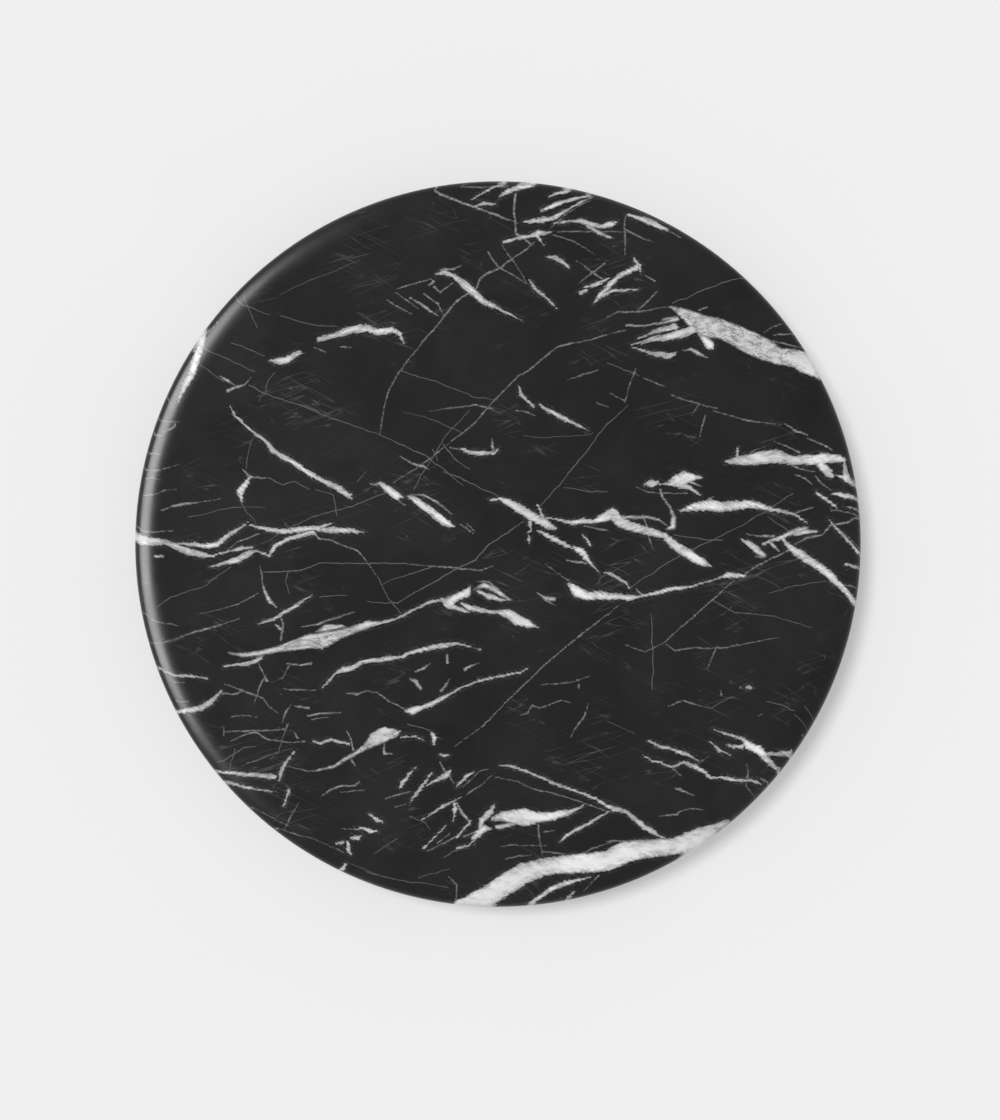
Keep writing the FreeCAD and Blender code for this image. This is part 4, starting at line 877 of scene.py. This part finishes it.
     (154, -51.5, .4)],
    [(119.5, -56.5, 1), (118, -61, .8), (115, -69, .5)],
    [(75.8, -24.6, .8), (79.5, -28, 1.6)],
    [(26.3, -11, .5), (33, -16.4, .7), (40, -21, .8)],
    [(21.5, -26.5, .6), (26, -29.8, 2.6), (31, -30.2, 2.4)],
    [(26, -30.5, 2), (32, -33.6, .3)],
    [(-13.5, -24.5, 1.2), (-8, -22.5, 3), (-2.5, -24.5, 3.6), (2.5, -28, 2.6), (7.5, -31, .5)],
    [(-11, -20, .6), (-5, -20.8, 1.4), (6, -29.8, .6)],
    [(-70, 33.2, 1), (-66, 33, 1.4)],
    [(-55, 23.5, 1), (-51.5, 21, .8)],
    [(-48, 26.5, 1), (-41, 26.6, 1.4), (-33.5, 23, 1.6), (-25, 16.3, .6)],
    [(-20.5, 11, .8), (-17, 9, 1.2), (-13.5, 6, .4)],
    [(-17, 11.5, .4), (-12.5, 7, .6)],
    [(-54, 48.5, .4), (-48, 45, 1.2), (-41, 42.5, 2), (-38, 40.5, .4)],
    [(-26, 53, .4), (-22.5, 52.2, 1), (-19.5, 52.3, 1)],
    [(-3.5, 58.5, .5), (-3.3, 54, 1.6), (-2.5, 50, 1.8)],
    [(-40, 195.5, .9), (-32.5, 191.7, 1.4), (-18, 186.7, 1.6), (0, 180.3, 1.3),
     (10.5, 175.7, .5)],
    [(9.3, 192, 1.6), (8.8, 182, 1.3), (9.3, 175, 1.2), (9.7, 170, 1.2), (15, 167, 1.4),
     (20, 163, .4)],
    [(-22, 196, .6), (-10, 196, .9), (4, 196.8, 1)],
    [(20, 197.7, 1.2), (34, 197.4, .8)],
    [(27, 171.5, .5), (37, 180.5, .8), (50, 189.5, .6)],
    [(33, 171.5, .6), (47, 171.5, .9), (58, 171.5, .7), (72, 171, .4)],
    [(69.5, 172.5, 1.4), (75, 170, 1), (85, 166, .3)],
    [(30, 170, .8), (42, 166, .8), (53, 158.3, .3)],
    [(2, 164, .5), (9, 155, .6), (15, 144, .6)],
    [(-5.5, 159.8, 1), (0, 152.5, 1), (8, 147.5, .8), (15.5, 142.5, .6)],
    [(20, 165, .8), (2, 152, 1), (-6, 148.5, 1.4), (-9.5, 145.5, 1.2), (-11.5, 140.5, 1),
     (-24, 132, 1.2), (-29, 125.5, 1), (-42, 110, .8), (-54.5, 94, .8), (-59.5, 86, .8),
     (-62, 77, .7), (-65, 60, .5)],
    [(-31, 150.5, 1.4), (-25, 151, 1.4), (-20, 153, .4)],
    [(-38, 141.5, 1), (-36, 143.3, 1.8)],
    [(-35.5, 141, .8), (-32, 137.5, 1), (-25, 143.5, .8)],
    [(-55.5, 139.7, .7), (-46, 142.5, 1), (-37, 145, .6)],
    [(-40.5, 137, 1), (-33, 132, 1), (-29.5, 124.5, .5)],
    [(-48, 134.8, .8), (-39, 129.5, 2), (-33, 125.3, .8)],
    [(-61, 133.5, .5), (-54, 129.5, 1), (-47, 126, .4)],
    [(-56.5, 138, .5), (-50, 133.5, .9), (-43.5, 129, .4)],
    [(44, 142.5, .4), (51, 148, 1), (58.5, 154, .8)],
    [(43, 155.5, .4), (50, 150.5, 1), (57.5, 145.5, 1)],
    [(81, 147, .8), (86, 143.7, 1)],
    [(75.5, 127, .5), (82, 133, .9), (88, 138.7, .5)],
    [(60, 124.5, .6), (66, 127, 1), (76, 127, 1.2), (94, 130, .3)],
    [(92, 173, 1), (99, 168.8, .5)],
    [(69.5, 180, .6), (69, 173.5, 1), (70, 165, 1), (69.7, 158.5, .6)],
    [(70.5, 120, 1.6), (80, 119.5, 1.2), (91, 121, 1.4), (98, 123.5, 3)],
    [(90, 122.8, 1.6), (97, 124, 2)],
    [(101.5, 105.8, 1), (106, 107, 2), (110, 105, 2.6), (115.5, 102.5, .6)],
    [(146, 116, .6), (154.5, 121.8, .8)],
    [(151.5, 114.5, .8), (158, 116.3, 1), (161, 118, .4)],
    [(151, 111.5, 1), (160, 110, 1.2), (166, 109.5, .6)],
    [(110.5, 128.5, 1.2), (115, 130, 1)],
    [(79.5, 91.5, .5), (86, 88.8, .9), (91.7, 86.5, .6)],
    [(75.6, 96, .8), (72.5, 88, .7), (70, 77.5, .5)],
    [(61.5, 83, .7), (70, 78, .5)],
    [(95.5, 81.7, .5), (103, 78.5, .8), (112, 76, .8), (120, 74.3, .4)],
    [(110, 76.5, .9), (106, 70.5, .4)],
    [(118, 73, .4), (128, 70, .8), (137, 67.3, .9), (155, 65.5, .3)],
    [(113.5, 70.5, .9), (111.5, 64, .9), (110.5, 59, .6)],
    [(38, 90.2, .4), (45, 92.3, .9), (55, 95.5, .6)],
    [(-38.5, 73, .3), (-24, 75, .8), (-13, 76.3, 1), (-4, 74.3, .8), (2, 70.8, .5)],
    [(9.5, 73, .5), (15, 72.5, .9), (20, 70.5, .7)],
    [(53.5, 78, .7), (60.5, 75.5, .5)],
    [(70, 117.5, .6), (45, 111, .8), (33, 108.3, .9), (25, 102, .9), (17, 95.5, .9),
     (11, 92.5, .9), (-10, 69.5, .8), (-20, 60.5, .7), (-38.5, 46, .8), (-57, 33.5, .6)],
    [(66, -33.5, .5), (48, -48, .8), (24, -67.5, .8), (2.5, -88.5, .7), (-8, -99.5, .7),
     (-24, -111.5, .3)],
]

# The hairlines that can be followed across the slab.
hairlines = [
    [(-162, 107, .4), (-148, 101.5, .4), (-133, 94.5, .3)],
    [(-163, 98, .4), (-150, 89, .4)],
    [(-136.5, 87.5, .5), (-129.5, 83.5, .5), (-98, 72, .4), (-60, 57.5, .4), (-40, 48.6, .5),
     (-19, 32.5, .4)],
    [(-122.5, 94, .4), (-126.5, 88.5, .4), (-127, 83, .4)],
    [(-119, 125.5, .4), (-99.5, 119.3, .4), (-88, 119, .3)],
    [(-146, 110, .4), (-128, 103, .4)],
    [(-120, 136.7, .2), (-109, 142, .3), (-75.6, 155.8, .2)],
    [(-141, 136, .3), (-132, 119, .4)],
    [(-146, 134, .4), (-140, 130.5, .5), (-125, 126, .3)],
    [(-170, 14.5, .3), (-146, 19.7, .4), (-128, 20.5, .2)],
    [(-140.3, 23, .5), (-138, 17.5, .4), (-133, 12.5, .3)],
    [(-126, 35.7, .5), (-118, 33, .5), (-112, 34.5, .5), (-103.5, 30, .4)],
    [(-135, 58, .3), (-138, 42, .4)],
    [(-100, 29.5, .4), (-90, 27, .4), (-88.5, 16, .4)],
    [(-129, -15.5, .5), (-109, -14.6, .6), (-98, -10.8, .5), (-80, -10.3, .5),
     (-50, -10.7, .5)],
    [(-115, -15.5, .5), (-117, -20, .4), (-114.5, -27, .4)],
    [(-187, -35, .4), (-179, -29, .5), (-161.5, -23.3, .4), (-146.5, -12, .4)],
    [(-98, -29, .6), (-83, -28, .3)],
    [(-153.5, -120.5, .5), (-139.5, -111.6, .5), (-133, -110.9, .3)],
    [(-144.5, -112, .4), (-147.5, -125, .4)],
    [(-115.5, -99, .5), (-120.5, -115, .4)],
    [(-49.5, -99, .5), (-43, -100.5, .5), (-37, -103, .4)],
    [(-49, -149.5, .4), (-40, -153, .4), (-37, -157, .3)],
    [(-72, -180, .4), (-50, -185.3, .4), (-26.5, -188, .3)],
    [(-43, -183.5, .4), (-26.5, -177.8, .3)],
    [(-80, -176, .3), (-61, -183, .3)],
    [(-68.5, -170, .3), (-55, -162, .4)],
    [(-30, -171.5, .3), (-22, -168, .5)],
    [(117, -90, .4), (129, -83.5, .4)],
    [(147.5, -86.3, .4), (163, -91.4, .4)],
    [(163, -93.5, .4), (172, -101.5, .3)],
    [(168.3, -89, .4), (175, -95, .4)],
    [(60, -97, .3), (75, -104, .2)],
    [(-72, 40, .2), (-77.5, 34, .4)],
    [(-62, 28, .4), (-80, 20.5, .5), (-102, 15, .4), (-130, 0, .3)],
    [(22.5, 20, .4), (38, 37.5, .5), (59, 64.5, .5), (71, 76, .3)],
    [(-55, -32, .4), (-30, -17.5, .6), (-13, -9, .6), (-5, 0, .6), (14, 12, .4)],
    [(-72, -32, .4), (-55, -32.5, .5)],
    [(72, -24, .4), (102, -5, .5), (134, 10, .4), (162, 27.5, .4)],
    [(95.5, 132, .4), (114, 139.3, .5), (131, 147, .5), (134, 147.5, .4)],
    [(60, 99, .4), (72, 94.5, .5), (77, 92.3, .4)],
    [(96.5, 5, .4), (112, 2.5, .5), (123, 2.2, .4)],
    [(148, -27, .3), (160, -23.5, .4), (180, -20.5, .3)],
    [(117, -31, .4), (130, -37.5, .4), (152, -39.5, .3), (172, -46, .3)],
    [(-30, 54.5, .6), (-24, 47, .5), (-15, 41, .3)],
    [(-36, 52, .5), (-33, 46, .4)],
    [(-46, 30, .4), (-42, 38, .4), (-28, 60, .4), (-16, 73, .3)],
    [(-54, 95, .4), (-36, 90, .4), (-13, 80.5, .4), (0, 79, .3)],
    [(-52, 73, .2), (-36, 68, .3), (-20, 61, .4)],
    [(-30, 39.5, .4), (-21, 37, .5), (-10, 31, .5), (0, 26, .4)],
    [(14, 59, .3), (30, 58.5, .3), (50, 60, .3)],
    [(36, 31, .3), (52, 28.5, .4), (60, 29, .3)],
    [(148, 15, .3), (158, 8, .5), (163, 5, .4)],
    [(-66.5, -17.5, .4), (-60, -30, .4), (-53, -38, .4)],
    [(-64, -22, .3), (-48, -16, .4), (-36, -12.5, .5)],
    [(84, -38, .3), (84.5, -50, .5), (85, -80, .4)],
]

# The slab itself: one outline carried round, from the recess under it out to the
# edge, up its rounding and in over the top. Its sizes are in millimetres.
slab_top, slab_under, slab_reach = 40.0, 20.0, 200.0
recess_top, recess_reach, recess_ease = 25.0, 94.5, 0.5
under_round = 8.0
rim_round, rim_drop = 7.0, 9.0
crown_round, crown_reach = 20.25, 14.0
arcs_meet = 58.12


def arc(reach, height, radius, turns):
    """Points of an outline on an arc, at turns in degrees up from level."""
    return [
        (
            reach + radius * math.cos(math.radians(turn)),
            height + radius * math.sin(math.radians(turn)),
        )
        for turn in turns
    ]


slab_outline = [
    (recess_reach, recess_top),
    (recess_reach, slab_under + recess_ease),
    (recess_reach + recess_ease, slab_under),
    (150.0, slab_under),
    (190.0, slab_under),
    *arc(
        slab_reach - under_round,
        slab_under + under_round,
        under_round,
        [9.0 * step - 90.0 for step in range(11)],
    ),
    *arc(
        slab_reach - rim_round,
        slab_top - rim_drop,
        rim_round,
        [arcs_meet / 8.0 * step for step in range(9)],
    ),
    *arc(
        slab_reach - crown_reach,
        slab_top - crown_round,
        crown_round,
        [arcs_meet + (90.0 - arcs_meet) / 8.0 * step for step in range(1, 9)],
    ),
    (184.0, slab_top),
]
bpy.ops.mesh.primitive_circle_add(
    vertices=240,
    radius=recess_reach / 1000.0,
    fill_type="NOTHING",
    location=(0.0, 0.0, recess_top / 1000.0),
)
slab = bpy.context.object
slab.name = "marble_slab"
bpy.ops.object.transform_apply(location=True, rotation=True, scale=True)
bpy.ops.object.mode_set(mode="EDIT")
bpy.ops.mesh.select_all(action="SELECT")
bpy.ops.mesh.edge_face_add()
bpy.ops.mesh.select_mode(type="EDGE")
for (reach, height), (next_reach, next_height) in zip(slab_outline, slab_outline[1:]):
    bpy.ops.mesh.extrude_edges_move(
        TRANSFORM_OT_translate={"value": (0.0, 0.0, (next_height - height) / 1000.0)}
    )
    bpy.ops.transform.resize(
        value=(next_reach / reach, next_reach / reach, 1.0),
        center_override=(0.0, 0.0, 0.0),
    )
bpy.ops.mesh.edge_face_add()
bpy.ops.mesh.select_all(action="SELECT")
bpy.ops.mesh.remove_doubles(threshold=0.000001)
bpy.ops.mesh.normals_make_consistent(inside=False)
bpy.ops.object.mode_set(mode="OBJECT")

# Six blind holes are drilled up from the recess for the threaded inserts.
insert_circle, insert_hole = 0.062, 0.0041
hole_depth, hole_middle = 0.0095, 0.02875
bpy.ops.object.select_all(action="DESELECT")
drills = []
for number in range(6):
    turn = math.radians(60.0 * number)
    bpy.ops.mesh.primitive_cylinder_add(
        vertices=48,
        radius=insert_hole,
        depth=hole_depth,
        location=(
            insert_circle * math.cos(turn),
            insert_circle * math.sin(turn),
            hole_middle,
        ),
    )
    drills.append(bpy.context.object)
for drill in drills:
    drill.select_set(True)
bpy.ops.object.join()
drill = bpy.context.object
cut = slab.modifiers.new("insert holes", "BOOLEAN")
cut.operation = "DIFFERENCE"
cut.solver = "EXACT"
cut.object = drill
bpy.ops.object.select_all(action="DESELECT")
slab.select_set(True)
bpy.context.view_layer.objects.active = slab
bpy.ops.object.modifier_apply(modifier=cut.name)
bpy.data.objects.remove(drill)

# The slab is marked off in squares, and each square wears the veins that cross it.
squares_across = 5
square = 2.0 * slab_reach / squares_across
bpy.ops.object.mode_set(mode="EDIT")
for number in range(1, squares_across):
    mark = (square * number - slab_reach) / 1000.0
    for facing in ((1.0, 0.0, 0.0), (0.0, 1.0, 0.0)):
        bpy.ops.mesh.select_all(action="SELECT")
        bpy.ops.mesh.bisect(plane_co=[mark * way for way in facing], plane_no=facing)
bpy.ops.object.mode_set(mode="OBJECT")
bpy.ops.object.shade_smooth_by_angle(angle=math.radians(30.0))
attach(slab, "turntable")
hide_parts("marble_top")

# The stone's own stuff, near black and clouded, with what fills its cracks.
stone, stone_in, stone_out = new_group(
    "marble stuff",
    [
        ("Point", "Vector", None),
        ("White depth", "Float", far_outside),
        ("Grey depth", "Float", far_outside),
        ("Hair depth", "Float", far_outside),
    ],
    [("Colour", "Color"), ("Roughness", "Float"), ("Height", "Float")],
)
place = stone_in.outputs["Point"]


def stone_noise(scale, detail, roughness=0.5, distortion=0.0, drawn=None, offset=(0, 0, 0)):
    """A noise in the stone, which may be drawn out, as (angle in degrees, how far)."""
    at = place
    if drawn:
        at = turned_point(stone, place, drawn[0], (drawn[1], 1.0, 1.0), offset)
    return noise_node(stone, at, scale, detail, roughness, distortion).outputs["Fac"]


def thin_line(value, middle, width):
    """A mask of where a noise passes a level, as a thin line."""
    off = math_node(stone, "ABSOLUTE", math_node(stone, "SUBTRACT", value, middle))
    return step_between(stone, off, width, 0.2 * width)


def frayed(depth, by_streak, by_crumbs):
    """How deep inside a vein, with its edge feathered by the streaks and crumbled."""
    feathered = math_node(stone, "MULTIPLY_ADD", off_streak, by_streak, depth)
    return math_node(stone, "MULTIPLY_ADD", off_crumbs, by_crumbs, feathered)


def laid_over(mask, amount, under, over):
    """One colour laid over another through a mask, by an amount."""
    return colour_between(stone, math_node(stone, "MULTIPLY", mask, amount), under, over)


# Streaks run with the veins, along the two ways the slab was strained.
mixed = stone.nodes.new("ShaderNodeMix")
stone.links.new(
    step_between(stone, stone_noise(0.013, 3.0, 0.55, 0.3), 0.42, 0.58),
    mixed.inputs["Factor"],
)
stone.links.new(stone_noise(0.9, 3.0, 0.6, drawn=(16.0, 7.0)), mixed.inputs[2])
stone.links.new(stone_noise(0.9, 3.0, 0.6, drawn=(-32.0, 6.0)), mixed.inputs[3])
streak = mixed.outputs[0]
off_streak = math_node(stone, "SUBTRACT", streak, 0.5)
off_crumbs = math_node(stone, "SUBTRACT", stone_noise(0.55, 4.0, 0.7), 0.5)

white_depth = frayed(stone_in.outputs["White depth"], 2.3, 1.5)
white_mask = step_between(stone, white_depth, -0.12, 0.18)
white_heart = step_between(stone, white_depth, 0.0, 1.6)
grey_depth = frayed(stone_in.outputs["Grey depth"], 1.5, 0.7)
grey_mask = step_between(stone, grey_depth, -0.14, 0.18)
grey_heart = step_between(stone, grey_depth, 0.1, 1.4)
hair_mask = step_between(stone, stone_in.outputs["Hair depth"], -0.12, 0.16)

# Ground: near black with a cloud of slightly paler stone, crossed by fine cracks
# where it was crushed, and splintered close to a white vein.
crushed = step_between(stone, stone_noise(0.022, 3.0, 0.6), 0.48, 0.68)
rising_cracks = stone_noise(0.11, 2.0, drawn=(17.0, 11.0), offset=(0, 40, 0))
falling_cracks = stone_noise(0.12, 2.0, drawn=(-26.0, 12.0), offset=(90, 0, 0))
cracks = math_node(
    stone,
    "MULTIPLY",
    math_node(
        stone,
        "MAXIMUM",
        thin_line(rising_cracks, 0.5, 0.008),
        thin_line(falling_cracks, 0.5, 0.008),
    ),
    crushed,
)
near_vein = math_node(
    stone,
    "MULTIPLY",
    step_between(stone, white_depth, -3.0, 0.0),
    step_between(stone, streak, 0.45, 0.75),
)
splinters = math_node(
    stone,
    "MULTIPLY",
    step_between(stone, stone_in.outputs["White depth"], -2.6, -0.2),
    thin_line(streak, 0.54, 0.02),
)
colour = colour_between(
    stone,
    step_between(stone, stone_noise(0.018, 6.0, 0.62, 0.6), 0.3, 0.72),
    (0.0028, 0.0028, 0.0029),
    (0.0096, 0.0096, 0.0098),
)
for mask, amount, shade in (
    (near_vein, 0.12, (0.06, 0.06, 0.061)),
    (splinters, 0.6, (0.16, 0.16, 0.162)),
    (cracks, 0.45, (0.12, 0.12, 0.122)),
    (hair_mask, 0.75, (0.15, 0.15, 0.152)),
):
    colour = laid_over(mask, amount, colour, shade)

# Filling: cloudy calcite, whiter at a vein's heart, with dark threads of the
# ground caught in it.
mottle = step_between(stone, stone_noise(0.3, 6.0, 0.66, drawn=(-8.0, 2.2)), 0.3, 0.6)
clear = step_between(stone, stone_noise(0.03, 3.0, 0.6), 0.36, 0.62)
threads = math_node(
    stone,
    "MULTIPLY",
    math_node(
        stone,
        "MULTIPLY",
        thin_line(streak, 0.47, 0.034),
        step_between(stone, stone_noise(0.09, 3.0, 0.6), 0.42, 0.54),
    ),
    step_between(stone, white_depth, 1.2, 3.6, 1.0, 0.15),
)
grey_fill = colour_between(
    stone,
    grey_heart,
    (0.11, 0.11, 0.112),
    colour_between(stone, mottle, (0.32, 0.32, 0.322), (0.72, 0.72, 0.718)),
)
grey_fill = laid_over(threads, 0.85, grey_fill, (0.03, 0.03, 0.03))
colour = laid_over(grey_mask, 0.9, colour, grey_fill)
white_fill = colour_between(
    stone,
    white_heart,
    (0.28, 0.28, 0.282),
    colour_between(
        stone,
        mottle,
        colour_between(stone, clear, (0.27, 0.27, 0.272), (0.6, 0.6, 0.598)),
        colour_between(stone, clear, (0.62, 0.62, 0.622), (0.86, 0.86, 0.855)),
    ),
)
white_fill = colour_between(
    stone,
    step_between(stone, white_depth, 2.0, 5.0, 0.0, 0.6),
    white_fill,
    (0.8, 0.8, 0.795),
)
white_fill = laid_over(threads, 0.7, white_fill, (0.07, 0.07, 0.07))
stone.links.new(
    colour_between(stone, white_mask, colour, white_fill), stone_out.inputs["Colour"]
)

# Shine: the soft calcite takes a little less polish than the black ground.
stone.links.new(
    math_node(
        stone,
        "MULTIPLY_ADD",
        math_node(stone, "MAXIMUM", white_mask, grey_mask),
        0.07,
        step_between(stone, stone_noise(0.03, 4.0, 0.6, 0.5), 0.3, 0.7, 0.27, 0.34),
    ),
    stone_out.inputs["Roughness"],
)
stone.links.new(stone_noise(0.8, 3.0), stone_out.inputs["Height"])


def strayed(tree, point, at, scale, reach, detail):
    """A point led astray by the noise at a place, up to about a reach in millimetres."""
    stray = noise_node(tree, at, scale, detail, 0.62).outputs["Color"]
    centred = vector_node(tree, "SUBTRACT", stray, (0.5, 0.5, 0.5))
    return vector_node(tree, "MULTIPLY_ADD", centred, (reach, reach, 0.0), point)


def vein_places(tree, point):
    """The point as its depth below the top, and where on the top its veins come from.

    Veins go on down the rounded edge from where they leave the top, at a slant.
    """
    veins_leave, slant = slab_reach - 2.5, math.radians(0.15)
    axes = axes_of(tree, point)
    below = math_node(tree, "SUBTRACT", slab_top, axes["Z"])
    deep = tree.nodes.new("ShaderNodeCombineXYZ")
    for axis, value in (("X", axes["X"]), ("Y", axes["Y"]), ("Z", below)):
        tree.links.new(value, deep.inputs[axis])
    flat = vector_node(tree, "MULTIPLY", point, (1.0, 1.0, 0.0))
    inwards = math_node(tree, "DIVIDE", veins_leave, vector_node(tree, "LENGTH", flat))
    inwards = math_node(tree, "MINIMUM", inwards, 1.0)
    drawn_in = vector_node(tree, "SCALE", flat, scale=inwards)
    angle = math_node(tree, "MULTIPLY", below, slant)
    slanted = tree.nodes.new("ShaderNodeVectorRotate")
    slanted.rotation_type = "Z_AXIS"
    tree.links.new(drawn_in, slanted.inputs["Vector"])
    tree.links.new(angle, slanted.inputs["Angle"])
    return deep.outputs["Vector"], slanted.outputs["Vector"]


def marble_square(number, left, front):
    """The marble of one square of the slab, with the veins that cross it."""
    marble, tree, shader, point = new_finish(f"marble {number}")
    deep_point, face_point = vein_places(tree, point)
    vein_point = strayed(tree, face_point, deep_point, 0.05, 2.6, 2.0)
    vein_point = strayed(tree, vein_point, deep_point, 0.7, 1.4, 4.0)
    hair_point = strayed(tree, face_point, deep_point, 0.09, 3.6, 5.0)
    stuff = use_group(tree, stone, deep_point)
    for label, courses, at in (
        ("White depth", white_veins, vein_point),
        ("Grey depth", grey_veins, vein_point),
        ("Hair depth", hairlines, hair_point),
    ):
        veins = vein_set(f"{label} {number}", runs_near(courses, left, front, square))
        tree.links.new(use_group(tree, veins, at).outputs["Depth"], stuff.inputs[label])
    tree.links.new(stuff.outputs["Colour"], shader.inputs["Base Color"])
    tree.links.new(stuff.outputs["Roughness"], shader.inputs["Roughness"])
    raise_surface(tree, shader, stuff.outputs["Height"], 0.00001)
    shader.inputs["Specular IOR Level"].default_value = 0.2
    return marble


for number in range(squares_across**2):
    row, column = divmod(number, squares_across)
    slab.data.materials.append(
        marble_square(number + 1, square * column - slab_reach, square * row - slab_reach)
    )
for face in slab.data.polygons:
    column, row = (
        min(squares_across - 1, max(0, int((along * 1000.0 + slab_reach) // square)))
        for along in face.center[:2]
    )
    face.material_index = squares_across * row + column

# ---------------------------------------------------------------- table, light and camera
# The turntable stands on a plain pale table under soft light from the left, and
# is seen from straight above.


def background_ray(tree):
    """One for the rays that show the background, straight on, mirrored or through glass."""
    ray = tree.nodes.new("ShaderNodeLightPath")
    return math_node(
        tree,
        "ADD",
        math_node(tree, "ADD", ray.outputs["Is Camera Ray"], ray.outputs["Is Glossy Ray"]),
        ray.outputs["Is Transmission Ray"],
        clamp=True,
    )


bpy.ops.mesh.primitive_plane_add(size=6.0, location=(0.0, 0.0, 0.0))
table = bpy.context.object
table.name = "table"
table_paint, tree, shader, point = new_finish("table paint")
tree.links.new(
    colour_between(
        tree,
        noise_node(tree, point, 0.01, 2.0).outputs["Fac"],
        (0.865, 0.865, 0.865),
        (0.875, 0.875, 0.875),
    ),
    shader.inputs["Base Color"],
)
shader.inputs["Roughness"].default_value = 0.9
shader.inputs["Specular IOR Level"].default_value = 0.0
lift = tree.nodes.new("ShaderNodeEmission")
lift.inputs["Color"].default_value = (0.88, 0.88, 0.88, 1.0)
paled = tree.nodes.new("ShaderNodeMixShader")
tree.links.new(
    math_node(tree, "MULTIPLY", background_ray(tree), 0.4), paled.inputs["Fac"]
)
tree.links.new(shader.outputs[0], paled.inputs[1])
tree.links.new(lift.outputs[0], paled.inputs[2])
tree.links.new(paled.outputs[0], tree.nodes["Material Output"].inputs["Surface"])
table.data.materials.append(table_paint)

sky = bpy.data.worlds.new("room")
bpy.context.scene.world = sky
sky.use_nodes = True
room = sky.node_tree.nodes["Background"]
room.inputs["Color"].default_value = (0.87, 0.87, 0.87, 1.0)
glow = math_node(sky.node_tree, "MULTIPLY_ADD", background_ray(sky.node_tree), 0.52, 0.48)
sky.node_tree.links.new(glow, room.inputs["Strength"])

bpy.ops.object.light_add(
    type="SUN", rotation=(math.radians(-10.0), math.radians(-16.0), 0.0)
)
lamp = bpy.context.object
lamp.name = "soft window light"
lamp.data.energy = 1.92
lamp.data.angle = math.radians(16.0)
lamp.visible_glossy = False

bpy.ops.object.light_add(
    type="AREA",
    location=(-1.5, 0.22, 1.0),
    rotation=(0.0, math.radians(-56.3), math.radians(-8.5)),
)
side_lamp = bpy.context.object
side_lamp.name = "side window"
side_lamp.data.shape = "RECTANGLE"
side_lamp.data.size = 0.9
side_lamp.data.size_y = 2.2
side_lamp.data.energy = 160.0
side_lamp.visible_diffuse = False
side_lamp.visible_camera = False

bpy.ops.object.camera_add(location=(0.0011, -0.0088, 1.7464), rotation=(0, 0, 0))
camera = bpy.context.object
camera.data.lens = 100.0
camera.data.sensor_width = 36.0
camera.data.sensor_fit = "AUTO"
camera.data.clip_end = 20.0
bpy.context.scene.camera = camera
bpy.context.scene.view_settings.view_transform = "Standard"
